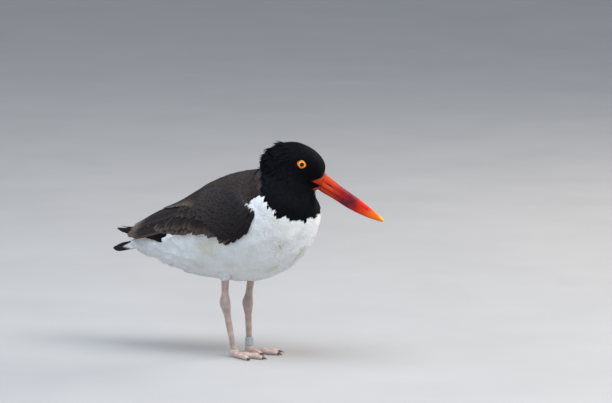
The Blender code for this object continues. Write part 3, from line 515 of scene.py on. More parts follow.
def tube_piece(name, rings, material, tint=None, maps=None, flip=False):
    """A closed tube through rings of points, each end drawn together to its middle by a last small ring."""
    rings = np.asarray(rings, float)
    middle = rings.mean(axis=1, keepdims=True)
    small = middle + (rings - middle) * END_CAP
    capped = np.concatenate([small[:1], rings, small[-1:]])
    rows, cols = capped.shape[:2]
    faces = grid_faces(rows, cols, closed=True)
    ends = [np.arange(cols)[None, ::-1], (rows - 1) * cols + np.arange(cols)[None, :]]
    parts = [faces, *ends]
    if flip:
        parts = [part[:, ::-1] for part in parts]

    def with_ends(values):
        """Values for each ring, with those of the first and the last ring once more."""
        return None if values is None else np.concatenate([values[:1], values, values[-1:]])

    if maps is None:
        maps = {"OFBake": np.stack(lattice(np.linspace(0, 1, rows), np.linspace(0, 1, cols)), axis=-1)}
    else:
        maps = {key: with_ends(value) for key, value in maps.items()}
    return new_piece(name, capped, parts, material, with_ends(tint), maps)


def dress(obj, slot_name, *nodes):
    """Makes a piece ride on the body and stand for the named nodes; slot_name is not used."""
    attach(obj, "root")
    if nodes:
        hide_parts(*nodes)
    return obj


def node_group(name, inputs, outputs):
    """A new shader node group with numbers as its inputs (name, default) and outputs (name)."""
    group = bpy.data.node_groups.new(name, "ShaderNodeTree")
    for label, default in inputs:
        socket = group.interface.new_socket(label, in_out="INPUT", socket_type="NodeSocketFloat")
        socket.default_value = default
    for label in outputs:
        group.interface.new_socket(label, in_out="OUTPUT", socket_type="NodeSocketFloat")
    return group, group.nodes.new("NodeGroupInput"), group.nodes.new("NodeGroupOutput")


class Net:
    """Short ways to add nodes to a tree and to link them."""

    def __init__(self, tree):
        """Takes the tree of nodes that is added to."""
        self.tree = tree

    def add(self, kind, settings=None, **inputs):
        """A node with its settings and with each named input set or linked."""
        node = self.tree.nodes.new(kind)
        for key, value in (settings or {}).items():
            setattr(node, key, value)
        for key, value in inputs.items():
            self.put(node, key.replace("_", " "), value)
        return node

    def put(self, node, key, value):
        """Sets an input, by its name or number, to a value or to another node's output."""
        socket = node.inputs[key]
        if isinstance(value, bpy.types.NodeSocket):
            self.tree.links.new(value, socket)
        else:
            socket.default_value = value

    def math(self, operation, a, b=0.0):
        """One operation on two values."""
        node = self.tree.nodes.new("ShaderNodeMath")
        node.operation = operation
        self.put(node, 0, a)
        self.put(node, 1, b)
        return node.outputs[0]

    def mix(self, a, b, share, kind="MIX"):
        """Two colours mixed by a share."""
        node = self.tree.nodes.new("ShaderNodeMix")
        node.data_type, node.blend_type = "RGBA", kind
        self.put(node, 0, share)
        self.put(node, 6, a)
        self.put(node, 7, b)
        return node.outputs[2]

    def range(self, value, low, high, to_low=0.0, to_high=1.0):
        """A value carried from one range to another, and held at its ends."""
        node = self.tree.nodes.new("ShaderNodeMapRange")
        for k, v in enumerate((value, low, high, to_low, to_high)):
            self.put(node, k, v)
        return node.outputs[0]


def barb_group():
    """Node group: fine slanted barbs, a shaft line and worn edges on a feather, from its own UV map."""
    if "Feather barbs" in bpy.data.node_groups:
        return bpy.data.node_groups["Feather barbs"]
    group, given, out = node_group(
        "Feather barbs",
        [("Barbs", 60.0), ("Slant", 12.0), ("Wear", 0.5)],
        ["Shade", "Edge", "Height"],
    )
    net = Net(group)
    own = net.add("ShaderNodeUVMap", {"uv_map": "Vane"})
    split = net.add("ShaderNodeSeparateXYZ", Vector=own.outputs[0])
    across = net.math("ABSOLUTE", net.math("SUBTRACT", net.math("MULTIPLY", split.outputs[0], 2.0), 1.0))
    along = split.outputs[1]
    slanted = net.math("SUBTRACT", net.math("MULTIPLY", along, given.outputs["Barbs"]),
                       net.math("MULTIPLY", across, given.outputs["Slant"]))
    lines = net.math("SINE", slanted)
    place = net.add("ShaderNodeTexCoord")
    rough = net.add("ShaderNodeTexNoise", Vector=place.outputs["Object"], Scale=900.0, Detail=2.0)
    lump = net.math("ADD", net.math("MULTIPLY", lines, 0.3), rough.outputs["Fac"])
    shaft = net.range(across, 0.0, 0.09, 1.0, 0.0)
    tip = net.range(along, 0.55, 1.0)
    rim = net.math("MULTIPLY", net.range(across, 0.55, 1.0), 0.75)
    worn = net.math("MAXIMUM", net.math("POWER", tip, 3.0), rim)
    worn = net.math("MULTIPLY", worn, net.range(rough.outputs["Fac"], 0.3, 0.7, 0.5, 1.0))
    group.links.new(net.math("MULTIPLY", worn, given.outputs["Wear"]), out.inputs["Edge"])
    shade = net.math("SUBTRACT", net.range(lump, 0.0, 1.3, 0.78, 1.12), net.math("MULTIPLY", shaft, 0.18))
    group.links.new(shade, out.inputs["Shade"])
    group.links.new(net.math("ADD", net.math("MULTIPLY", lump, 0.4), shaft), out.inputs["Height"])
    return group


def tinted_material(name):
    """A new material: itself, its net of nodes, its shader and the colour of its tint attribute."""
    material = bpy.data.materials.new(name)
    material.use_nodes = True
    net = Net(material.node_tree)
    shader = material.node_tree.nodes["Principled BSDF"]
    tint = net.add("ShaderNodeAttribute", {"attribute_name": "tint"})
    return material, net, shader, tint.outputs["Color"]


def feather_material(name, wear_colour, roughness, wear, barbs, slant, bump, specular, sheen=0.0):
    """Plumage: the tint attribute, shaded by barbs, worn at the edges, with a bump from the same barbs."""
    if name in bpy.data.materials:
        return bpy.data.materials[name]
    material, net, shader, tint = tinted_material(name)
    barb = material.node_tree.nodes.new("ShaderNodeGroup")
    barb.node_tree = barb_group()
    for key, value in (("Barbs", barbs), ("Slant", slant), ("Wear", wear)):
        barb.inputs[key].default_value = value
    tone = barb.outputs["Shade"]
    shade = net.add("ShaderNodeCombineColor", Red=tone, Green=tone, Blue=tone)
    shaded = net.mix(tint, shade.outputs[0], 1.0, "MULTIPLY")
    colour = net.mix(shaded, (*wear_colour, 1), barb.outputs["Edge"])
    net.put(shader, "Base Color", colour)
    height = net.add("ShaderNodeBump", Strength=bump, Distance=0.0004, Height=barb.outputs["Height"])
    net.put(shader, "Normal", height.outputs[0])
    shader.inputs["Roughness"].default_value = roughness
    shader.inputs["Specular IOR Level"].default_value = specular
    shader.inputs["Sheen Weight"].default_value = sheen
    shader.inputs["Sheen Roughness"].default_value = 0.4
    return material


def hide_material(name, roughness, bump, scale, low=0.82, high=1.12, specular=0.5, coat=0.0, metallic=0.0,
                  stretch=(1.0, 1.0, 1.0)):
    """A grained surface: the tint attribute mottled by noise in space, with a bump of the same grain."""
    if name in bpy.data.materials:
        return bpy.data.materials[name]
    material, net, shader, tint = tinted_material(name)
    place = net.add("ShaderNodeTexCoord")
    mapping = net.add("ShaderNodeMapping", Vector=place.outputs["Object"], Scale=stretch)
    grain = net.add("ShaderNodeTexNoise", Vector=mapping.outputs[0], Scale=scale, Detail=5.0, Roughness=0.6)
    tone = net.range(grain.outputs["Fac"], 0.3, 0.7, low, high)
    grey = net.add("ShaderNodeCombineColor", Red=tone, Green=tone, Blue=tone)
    net.put(shader, "Base Color", net.mix(tint, grey.outputs[0], 1.0, "MULTIPLY"))
    height = net.add("ShaderNodeBump", Strength=bump, Distance=0.0003, Height=grain.outputs["Fac"])
    net.put(shader, "Normal", height.outputs[0])
    net.put(shader, "Roughness", net.range(grain.outputs["Fac"], 0.3, 0.7, roughness * 0.8, roughness * 1.15))
    shader.inputs["Specular IOR Level"].default_value = specular
    shader.inputs["Coat Weight"].default_value = coat
    shader.inputs["Coat Roughness"].default_value = 0.08
    shader.inputs["Metallic"].default_value = metallic
    return material


def white_material():
    """The white plumage of underparts and thighs."""
    return feather_material("White plumage", (0.86, 0.86, 0.82), 0.8, wear=0.1, barbs=30.0, slant=6.0,
                            bump=0.12, specular=0.2, sheen=0.2)


def hood_material():
    """The black plumage of head and neck, velvety with a faint cold gloss."""
    return feather_material("Hood plumage", (0.012, 0.013, 0.017), 0.62, wear=0.15, barbs=24.0, slant=6.0,
                            bump=0.3, specular=0.03)


def dark_material():
    """The brown plumage of back and wings."""
    return feather_material("Brown plumage", (0.12, 0.094, 0.080), 0.6, wear=0.3, barbs=90.0, slant=16.0,
                            bump=0.25, specular=0.1)


def covert_material():
    """The darker plumage of the small coverts."""
    return feather_material("Covert plumage", (0.045, 0.038, 0.040), 0.55, wear=0.3, barbs=60.0, slant=10.0,
                            bump=0.2, specular=0.12)


def vane_material():
    """The black vanes of primaries and tail, which are white where the tint is."""
    return feather_material("Black vanes", (0.03, 0.027, 0.026), 0.55, wear=0.2, barbs=150.0, slant=20.0,
                            bump=0.3, specular=0.08)


def skin_material():
    """The skin under the plumage."""
    return hide_material("Skin under feathers", 0.85, 0.4, 700.0, specular=0.2)


def bill_material():
    """The horn of the bill and the bare skin behind it."""
    return hide_material("Bill horn", 0.42, 0.12, 500.0, 0.88, 1.08, coat=0.03, specular=0.18)


def leg_material():
    """The scaled skin of legs and toes."""
    return hide_material("Leg skin", 0.5, 0.35, 900.0, 0.88, 1.1)


# Markings


def looks():
    """The add-on's own settings."""
    return bpy.context.scene.oystercatcher


def colour_of(name):
    """A colour of the settings, as an array."""
    return np.array(getattr(looks(), name), float)


def share_round(angle):
    """Signed share of the half girth, from -1 to 1, for an angle round the body."""
    return np.mod(angle + math.pi, 2 * math.pi) / math.pi - 1


def hood_edge(angle):
    """Where along the body the black hood ends, for each angle round it, with small scallops."""
    turn = np.mod(np.asarray(angle) + math.pi, 2 * math.pi) - math.pi
    degrees, edge = np.array(HOOD_EDGE).T
    scallop = 0.0016 * np.sin(17 * turn + 1.0) + 0.0016 * np.sin(37 * turn)
    return np.interp(np.degrees(turn), degrees, edge) + scallop


def rise_of_bed(x, share):
    """How far the skin stands over the loft under the folded wing and the mantle, in millimetres."""
    share = np.abs(share)
    low, top = np.interp(x, BED_X, BED_LOW), np.interp(x, BED_X, BED_TOP)
    wing = np.interp(x, BED_X, BED_HEIGHT) * smooth(0.0, 0.05, low - share)
    wing = wing * smooth(-0.03, 0.03, share - top)
    mantle = np.interp(x, MANTLE_X, MANTLE_RISE) * (1 - smooth(0.03, 0.2, share))
    return np.maximum(wing, mantle)


def is_upper_side(x, share):
    """1 on the dark upper side: mantle and shoulders, and what the wings cover; 0 on white plumage."""
    share = np.abs(share)
    above = 1 - smooth(-0.012, 0.012, share - np.interp(x, SHOULDER_X, SHOULDER_LOW))
    shoulder = smooth(-118, -108, x) * above
    low, top = np.interp(x, BED_X, BED_LOW) - 0.025, np.interp(x, BED_X, BED_TOP) + 0.02
    wing = smooth(-0.01, 0.01, low - share) * smooth(-0.01, 0.01, share - top)
    wing = wing * smooth(-110, -96, x) * (x < 54)
    return np.maximum(shoulder, wing)


def lumps(p, q, point):
    """Soft tufts of the white plumage: lumps drawn out along the body, highest behind the legs."""
    behind_hood = smooth(0.0, 0.05, hood_edge(q) - p)
    fluffy = smooth(PLACE["middle"], PLACE["loin"], p) * smooth(PLACE["covert_tips"], PLACE["rump"], p)
    broad, narrow = ripple(point * (0.6, 1, 1), 27, 4), ripple(point * (0.6, 1, 1), 13, 7)
    return behind_hood * (0.8 * broad + (0.4 + 1.0 * fluffy) * narrow)


def body_tints(point, s, angle):
    """Colours of the plumage at points of the body, by the hood's edge, the dark back and the clean belly."""
    stain = np.clip(ripple(point * (0.7, 1, 1.3), 22, 3) - 0.3, 0, 1) * 0.8
    belly = blend(colour_of("belly"), colour_of("belly_stain"), stain)
    dark = blend(colour_of("back"), colour_of("back_edge"), 0.15 + 0.15 * ripple(point, 20, 5))
    tint = blend(belly, dark, is_upper_side(point[..., 0], share_round(angle)))
    forward, height, _ = head_plane(point)
    brow = smooth(92, 101, forward) * smooth(198, 206, height)
    hood = blend(colour_of("hood"), colour_of("forehead"), brow * 0.6)
    return blend(tint, hood, smooth(-0.004, 0.004, s - hood_edge(angle)))


# Feathers


# How a feather is formed: points along and across, shares of its length at full width and tapering, share of
# the width at its end, depth of notches and rounding there as shares of the length, heights at root and tip,
# drop to its edges, height of its shaft, and how ragged its end is
Form = namedtuple("Form", "rows cols full point end notch rounding root lift crown shaft ragged")
BODY_FORM = Form(5, 9, 0.35, 0.5, 0.55, 0.09, 0.16, -0.65, 0.15, 0.06, 0.0, 0.05)
HEAD_FORM = Form(4, 7, 0.3, 0.6, 0.5, 0.12, 0.18, -0.5, 0.15, 0.1, 0.0, 0.05)
SPIKE_FORM = Form(6, 5, 0.2, 0.95, 0.12, 0.03, 0.1, -1.2, 2.6, 1.5, 0.1, 0.03)
COVERT_FORM = Form(6, 11, 0.35, 0.42, 0.5, 0.045, 0.16, -0.6, 0.9, 0.22, 0.08, 0.03)
MANTLE_FORM = COVERT_FORM._replace(crown=0.12, shaft=0.04)
VANE_FORM = Form(10, 11, 0.3, 0.5, 0.45, 0.02, 0.1, 0, 0, 0.5, 0.3, 0.012)
AXIS_STEPS = 2  # steps along the chart from row to row of a feather
VANE_THICKNESS = 0.35
LEAST_MM = 1e-3  # least millimetres that a unit of the chart may stand for


def along_axis(chart, p, q, heading, length, rows):
    """The middle lines of feathers: from each root, steps along the chart at a steady angle to its lines."""
    axis = [(p, q)]
    stride = length / ((rows - 1) * AXIS_STEPS)
    for _ in range(rows - 1):
        for _ in range(AXIS_STEPS):
            _, _, mm_p, mm_q = chart.read(p, q)
            p = p - np.cos(heading) * stride / np.maximum(mm_p, LEAST_MM)
            q = q + np.sin(heading) * stride / np.maximum(mm_q, LEAST_MM)
        axis.append((p, q))
    axis = np.array(axis)
    return axis[:, 0].T, axis[:, 1].T


def ends_of(chart, axis):
    """Where feathers end: the points and the chart's two parameters."""
    p, q = axis[0][:, -1], axis[1][:, -1]
    return chart.read(p, q)[0], p, q


def feather_grids(chart, axis, heading, length, width, form, bed=None, heights=None, draw=None):
    """Feathers as grids of rows by cols points on a chart.

    With t from root to tip and c from -1 to 1 across, the half width is width / 2 times a share that grows to
    full and then tapers as a quarter ellipse. The end is drawn back by c^2, and by the notch at every other
    column. The height over the chart goes from root to lift with t^0.8, drops by crown * c^2 to the edges,
    less so at the root and where the feather tapers, and stands up at the shaft.
    """
    p_axis, q_axis = axis
    count, rows = p_axis.shape
    t = np.linspace(0, 1, rows)[None, :, None]
    c = np.linspace(-1, 1, form.cols)[None, None, :]
    full = 0.55 + 0.45 * np.clip(t / form.full, 0, 1)
    ending = np.clip(t - (1 - form.point), 0, 1) / form.point
    taper = np.sqrt(1 - ending**2 * (1 - form.end**2))
    half = width[:, None, None] / 2 * full * taper
    odd = (np.arange(form.cols) % 2)[None, None, :]
    fray = draw.random((count, 1, form.cols)) if draw is not None else 0.5
    back = length[:, None, None] * t**3 * (form.rounding * c**2 + form.notch * odd + form.ragged * fray)
    _, _, mm_p, mm_q = chart.read(p_axis, q_axis)
    cos, sin = np.cos(heading)[:, None, None], np.sin(heading)[:, None, None]
    across = c * half
    p = p_axis[..., None] + (cos * back + sin * across) / np.maximum(mm_p, LEAST_MM)[..., None]
    q = q_axis[..., None] + (-sin * back + cos * across) / np.maximum(mm_q, LEAST_MM)[..., None]
    point, normal, _, _ = chart.read(p, q)
    if heights is None:
        root, tip = form.root, form.lift
    else:
        root, tip = heights[0][:, None, None], heights[1][:, None, None]
    height = root + (tip - root) * t**0.8 - form.crown * c**2 * (0.4 + 0.6 * t) * taper - 0.03 * odd * t
    height = height + form.shaft * np.maximum(0, 1 - 5 * np.abs(c)) * (1 - t)
    if bed is not None:
        height = height + bed(p, q, point)
    return point + normal * height[..., None], np.broadcast_to(t, p.shape), np.broadcast_to(c, p.shape)


def coat_maps(root_u, root_v, t, c):
    """The two UV maps of a coat: a small patch at each root's place, and each feather's own square."""
    u = root_u[:, None, None] + (c * 0.5) * PATCH
    v = root_v[:, None, None] + (t - 0.5) * PATCH
    bake = np.stack([u, v], axis=-1)
    return {"OFBake": bake * 0.99 + 0.005, "Vane": np.stack([c * 0.5 + 0.5, t], axis=-1)}


def coat_piece(name, material, grids, tint, root_u, root_v, t, c):
    """One mesh of many feathers from an array of feather, row, column and coordinate."""
    faces = grid_faces(*grids.shape[1:3], len(grids))
    return new_piece(name, grids, [faces], material, tint, coat_maps(root_u, root_v, t, c))


def all_over(tint, grids):
    """The colour of each feather, carried to all its points."""
    return np.broadcast_to(tint[:, None, None], grids.shape)


def thick(grids, tint, t, c, thickness):
    """Feathers made into closed shells: the upper face, then the lower face back, joined at the edges."""
    rows, cols = grids.shape[1:3]
    across = grids[:, :, -1] - grids[:, :, 0]
    along = np.roll(grids, -1, 1)[:, :, cols // 2] - grids[:, :, cols // 2]
    down = np.cross(across, along)
    down[:, -1] = down[:, -2]
    down = unit(down)[:, :, None]
    inner = slice(cols - 2, 0, -1)
    fade = (np.sin(np.linspace(0.15, 1, rows) * math.pi) ** 0.5)[None, :, None, None]
    lower = grids[:, :, inner] + down * thickness * fade
    return np.concatenate([grids, lower], axis=2), *(
        np.concatenate([values, values[:, :, inner]], axis=2) for values in (tint, t, c)
    )


def vane_piece(name, material, grids, tint, t, c):
    """One mesh of large feathers as closed shells, each with its own cell of the OFBake map."""
    grids, tint, t, c = thick(grids, tint, t, c, VANE_THICKNESS)
    count, rows, around = grids.shape[:3]
    faces = [grid_faces(rows, around, count, closed=True)]
    ring = np.arange(around)[None] + (np.arange(count) * rows * around)[:, None]
    faces += [ring[:, ::-1], ring + (rows - 1) * around]
    cells = int(math.ceil(math.sqrt(count)))
    k = np.arange(count)[:, None, None]
    top = np.arange(around)[None, None, :] < (around + 2) // 2
    u = (k % cells + 0.05 + 0.44 * (c * 0.5 + 0.5) + np.where(top, 0, 0.46)) / cells
    v = (k // cells + 0.05 + 0.9 * t) / cells
    maps = {"OFBake": np.stack([u, v], axis=-1), "Vane": np.stack([c * 0.5 + 0.5, t], axis=-1)}
    return new_piece(name, grids, faces, material, tint, maps)


def spread(chart, count, weight, seed):
    """Roots spread evenly by area times a weight: an even sequence through the running sums of both."""
    rows, cols = WEIGHT_GRID
    p = np.linspace(*chart.p_range, rows)
    low, high = max(chart.q_range[0], -math.pi), min(chart.q_range[1], math.pi)
    q = np.linspace(low, high, cols)
    grid_p, grid_q = lattice(p, q)
    point, _, mm_p, mm_q = chart.read(grid_p, grid_q)
    mass = mm_p * mm_q * weight(grid_p, grid_q, point)
    by_row, by_col = np.cumsum(mass.sum(1)), np.cumsum(mass, axis=1)
    k = np.arange(1, count + 1)
    draw = np.random.default_rng(seed)
    u = np.mod(draw.random() + k * EVEN_STEPS[0], 1) * by_row[-1]
    v = np.mod(draw.random() + k * EVEN_STEPS[1], 1)
    row = np.clip(np.searchsorted(by_row, u), 0, rows - 1)
    inside = (u - np.where(row > 0, by_row[row - 1], 0)) / np.maximum(mass.sum(1)[row], 1e-9)
    target = v * by_col[row, -1]
    col = np.clip((by_col[row] < target[:, None]).sum(1), 0, cols - 1)
    before = np.where(col > 0, by_col[row, np.maximum(col - 1, 0)], 0)
    part = (target - before) / np.maximum(mass[row, col], 1e-9)
    root_p = p[row] + (inside - 0.5) * (p[1] - p[0])
    root_q = q[col] + (np.clip(part, 0, 1) - 0.5) * (q[1] - q[0])
    return np.clip(root_p, p[0], p[-1]), root_q, draw


def bare_skin(point):
    """Distance in millimetres, in side view, from the bare parts of the face: eye ring and gape."""
    forward, height, across = head_plane(point)
    x, z = forward - EYE_AT[0], height - EYE_AT[1]
    c, s = math.cos(LID_TILT), math.sin(LID_TILT)
    along, up = x * c + z * s, -x * s + z * c
    eye = (np.sqrt((along / LID_OUTER[0]) ** 2 + (up / LID_OUTER[1]) ** 2) - 1) * LID_OUTER[1]
    wedges = [triangle_distance(forward, height, corners) for corners in (GAPE_UPPER, GAPE_LOWER)]
    return np.minimum(eye, np.where(np.abs(across) > 1, np.minimum(*wedges), FAR_OFF))


def triangle_distance(x, z, corners):
    """Signed distance from a triangle in a plane, negative inside: the largest over its three sides."""
    corners = np.array(corners, float)
    middle = corners.mean(0)
    far = np.full(np.shape(x), -1e9)
    for k in range(3):
        a, b = corners[k], corners[(k + 1) % 3]
        out = np.array([b[1] - a[1], a[0] - b[0]])
        out = out / np.linalg.norm(out)
        if out @ (middle - a) > 0:
            out = -out
        far = np.maximum(far, (x - a[0]) * out[0] + (z - a[1]) * out[1])
    return far


def skin_depth(s, point):
    """How far the skin lies inside the plumage's outline: less on the head, least at bare skin."""
    depth = BODY_DEPTH + (HEAD_DEPTH - BODY_DEPTH) * smooth(PLACE["neck"], PLACE["occiput"], s)
    depth = depth * smooth(0.0, 0.03, s) + LEAST_DEPTH
    on_face = smooth(PLACE["nape"], PLACE["occiput"], s)
    return depth + (BARE_DEPTH - depth) * on_face * (1 - smooth(-1.0, 4.0, bare_skin(point)))


# Pieces


def make_skin():
    """The skin: the body's loft moved in by the coat's depth and out under wings and mantle."""
    grid_s, grid_angle = lattice(np.linspace(0, 1, 300), np.linspace(-math.pi, math.pi, 161)[:-1])
    point, normal, _, _ = body_chart.read(grid_s, grid_angle)
    share = grid_angle / math.pi
    rise = rise_of_bed(point[..., 0], share) * (1 - smooth(PLACE["upper_breast"], PLACE["shoulders"], grid_s))
    white = smooth(0.02, -0.02, grid_s - hood_edge(grid_angle))
    rise = rise + white * lumps(grid_s, grid_angle, point)
    rings = point + normal * (rise - skin_depth(grid_s, point))[..., None]
    tint = body_tints(point, grid_s, grid_angle) * 0.85
    forward, _, _ = head_plane(point)
    bare = (1 - smooth(-0.4, 0.6, bare_skin(point))) * smooth(84, 86, forward)
    tint = blend(tint, colour_of("bill_base"), bare)
    unwrap = np.stack([grid_s, share * 0.5 + 0.5], axis=-1)
    skin = tube_piece("skin", rings, skin_material(), tint, {"OFBake": unwrap})
    dress(skin, "white_feathers", "torso", "neck", "head", "mantle")


def place_of_roots(root_s, root_angle):
    """The place of roots on the unwrap of the skin."""
    return root_s, np.mod(root_angle + math.pi, 2 * math.pi) / (2 * math.pi)


def body_heading(point, s, angle, draw):
    """Lie of the plumage against the body's lines, in radians: back, a little down the sides, in locks."""
    share = share_round(angle)
    down = 0.30 * np.sign(share) * np.sin(np.abs(share) * math.pi) * smooth(0.1, 0.4, PLACE["neck"] - s)
    lock = 0.22 * ripple(point, 34, 11)
    return down + lock + draw.normal(0, 0.07, len(s))


def make_underparts():
    """White plumage of breast, belly, flanks, vent and tail coverts in three pieces."""
    def weight(s, angle, point):
        """Even over the white plumage, denser on the upper breast, and scarce under wings and mantle."""
        white = (s < hood_edge(angle) + 0.03).astype(float)
        hidden = is_upper_side(point[..., 0], share_round(angle))
        return white * (1 - 0.97 * hidden) * (1 + 0.35 * smooth(PLACE["breast"], PLACE["upper_breast"], s))

    s, angle, draw = spread(body_chart, looks().underpart_feathers, weight, SEED_WHITE)
    point, _, _, _ = body_chart.read(s, angle)
    size = 1 - 0.3 * smooth(PLACE["breast"], PLACE["shoulders"], s)
    length = looks().underpart_length * size * draw.uniform(0.85, 1.15, len(s))
    width = WHITE_WIDTH * size * draw.uniform(0.85, 1.15, len(s))
    heading = body_heading(point, s, angle, draw)
    axis = along_axis(body_chart, s, angle, heading, length, BODY_FORM.rows)
    end, end_s, end_angle = ends_of(body_chart, axis)
    middle_s, middle_angle = (values[:, BODY_FORM.rows // 2] for values in axis)
    middle, _, _, _ = body_chart.read(middle_s, middle_angle)
    white = end_s < hood_edge(end_angle) + draw.normal(0, 0.0035, len(s))
    white &= is_upper_side(middle[:, 0], middle_angle / math.pi) < 0.5
    s, angle, size, length, width, heading, end, end_s, end_angle = (
        values[white] for values in (s, angle, size, length, width, heading, end, end_s, end_angle)
    )
    axis = tuple(values[white] for values in axis)
    fluffy = 1 - smooth(PLACE["loin"], PLACE["middle"], s)
    loose = np.where(draw.random(len(s)) < LOOSE_SHARE, draw.uniform(*LOOSE_LIFT, len(s)), 0) * fluffy
    tucked = is_upper_side(end[:, 0], end_angle / math.pi)
    lift = BODY_FORM.lift + draw.uniform(-0.1, 0.1, len(s)) + loose - TUCK * tucked
    heights = (BODY_FORM.root * size, lift * size)
    grids, t, c = feather_grids(body_chart, axis, heading, length, width, BODY_FORM, lumps, heights, draw)
    tint = body_tints(end, np.minimum(end_s, PLACE["breast"]), end_angle)
    # Each feather is a little darker towards its root, where it lies under the feathers ahead of it: painted
    # shade
    tint = all_over(tint * draw.uniform(0.96, 1.03, (len(s), 1)), grids) * (0.94 + 0.06 * t[..., None])
    u, v = place_of_roots(s, angle)
    edges = (-1, PLACE["thighs"], PLACE["keel"], 2)
    for name, low, high in zip(("vent", "belly", "breast"), edges[:-1], edges[1:]):
        pick = (s >= low) & (s < high)
        part = [values[pick] for values in (grids, tint, u, v, t, c)]
        dress(coat_piece(f"{name}_feathers", white_material(), *part), "white_feathers")


def make_hood():
    """Black plumage of head and neck: tiny feathers on the face, longer ones down the neck."""
    def weight(s, angle, point):
        """Black plumage only, densest on the face, with none on bare skin."""
        black = (s > hood_edge(angle) - 0.002).astype(float)
        near = 1 + 3.2 * smooth(PLACE["nape"], PLACE["fore_crown"], s)
        return black * near * (bare_skin(point) > 0.35)

    s, angle, draw = spread(body_chart, looks().hood_feathers, weight, SEED_HOOD)
    point, _, _, _ = body_chart.read(s, angle)
    clear = bare_skin(point)
    s, angle, point, clear = (values[clear > 0.3] for values in (s, angle, point, clear))
    size = 1 - 0.62 * smooth(PLACE["shoulders"], PLACE["fore_crown"], s)
    length = looks().hood_length * size * draw.uniform(0.85, 1.15, len(s))
    length = np.minimum(length, np.maximum(0.9, clear * 0.9 + 0.3))
    width = np.minimum(HOOD_WIDTH * size, length * 0.8) * draw.uniform(0.85, 1.15, len(s))
    heading = 0.16 * ripple(point, 22, 8) + draw.normal(0, 0.07, len(s))
    axis = along_axis(body_chart, s, angle, heading, length, HEAD_FORM.rows)
    end, end_s, end_angle = ends_of(body_chart, axis)
    black = end_s > hood_edge(end_angle) + draw.normal(0, 0.0025, len(s))
    s, angle, length, width, heading, end, end_angle = (
        values[black] for values in (s, angle, length, width, heading, end, end_angle)
    )
    axis = tuple(values[black] for values in axis)
    face = smooth(PLACE["hind_crown"], PLACE["forehead"], s)
    lift = 0.25 - 0.15 * face + draw.uniform(-0.1, 0.2, len(s)) * (1 - 0.6 * face)
    heights = (HEAD_FORM.root + 0.25 * face, lift)
    grids, t, c = feather_grids(body_chart, axis, heading, length, width, HEAD_FORM, None, heights, draw)
    tint = body_tints(end, np.ones(len(s)), end_angle) * draw.uniform(0.7, 1.4, (len(s), 1))
    tint = all_over(tint, grids)
    u, v = place_of_roots(s, angle)
    on_neck = s < PLACE["occiput"]
    for name, pick in (("neck", on_neck), ("head", ~on_neck)):
        part = [values[pick] for values in (grids, tint, u, v, t, c)]
        dress(coat_piece(f"{name}_feathers", hood_material(), *part), "black_feathers")


def make_nape():
    """Loose pointed feathers that stand out in tufts from the back of head and neck."""
    def weight(s, angle, point):
        """Most along the middle of the nape, fading out on the crown and to both sides."""
        behind = smooth(PLACE["neck"], PLACE["occiput"], s)
        behind = behind * (1 - smooth(PLACE["hind_crown"], PLACE["crown"], s))
        return behind * np.exp(-((angle / 0.9) ** 2))

    s, angle, draw = spread(body_chart, looks().nape_spikes, weight, SEED_NAPE)
    point, _, _, _ = body_chart.read(s, angle)
    length = draw.uniform(*SPIKE_LENGTH, len(s))
    width = draw.uniform(*SPIKE_WIDTH, len(s))
    tuft = np.clip(0.55 + 0.9 * ripple(point, 9, 10), 0.1, 1.4)
    heading = 0.25 * ripple(point, 9, 9) + draw.normal(0, 0.12, len(s))
    axis = along_axis(body_chart, s, angle, heading, length, SPIKE_FORM.rows)
    heights = (np.full(len(s), SPIKE_FORM.root), draw.uniform(0.3, 1.0, len(s)) * SPIKE_LIFT * tuft)
    grids, t, c = feather_grids(body_chart, axis, heading, length, width, SPIKE_FORM, None, heights, draw)
    tint = all_over(body_tints(point, s, angle) * draw.uniform(0.8, 1.4, (len(s), 1)), grids)
    nape = coat_piece("nape_feathers", hood_material(), grids, tint, *place_of_roots(s, angle), t, c)
    dress(nape, "black_feathers")


def flank_bed(p, q, point):
    """Height of the skin's rise on the flank chart."""
    return rise_of_bed(p, q)


def dark_tint(grids, t, c, tone, edge, draw):
    """Brown plumage: each feather with its own tone between two browns, and paler at its worn edges."""
    base = blend(colour_of("back_dark"), colour_of("back"), np.clip(tone, 0, 1))
    base = base * draw.uniform(0.8, 1.25, (len(grids), 1))
    worn = smooth(0.55, 1.0, np.abs(c)) * 0.7 + smooth(0.75, 1.0, t)
    worn = np.clip(worn, 0, 1) * np.reshape(edge, (-1, 1, 1))
    return blend(all_over(base, grids), colour_of("back_edge"), worn[..., None])


def flank_place(x, share):
    """The place of roots of the flank chart on the unwrap of a coat."""
    return x / 400 + 0.5, share * 0.5 + 0.5


def point_is_behind_hood(point):
    """1 where roots on the flank lie behind the hood's border, a slanting line from the nape to the spur."""
    x, y, z = point[..., 0], np.abs(point[..., 1]), point[..., 2]
    return (x < 29 + 0.62 * y + np.clip(0.3 * (210 - z), 0, 4.5)).astype(float)


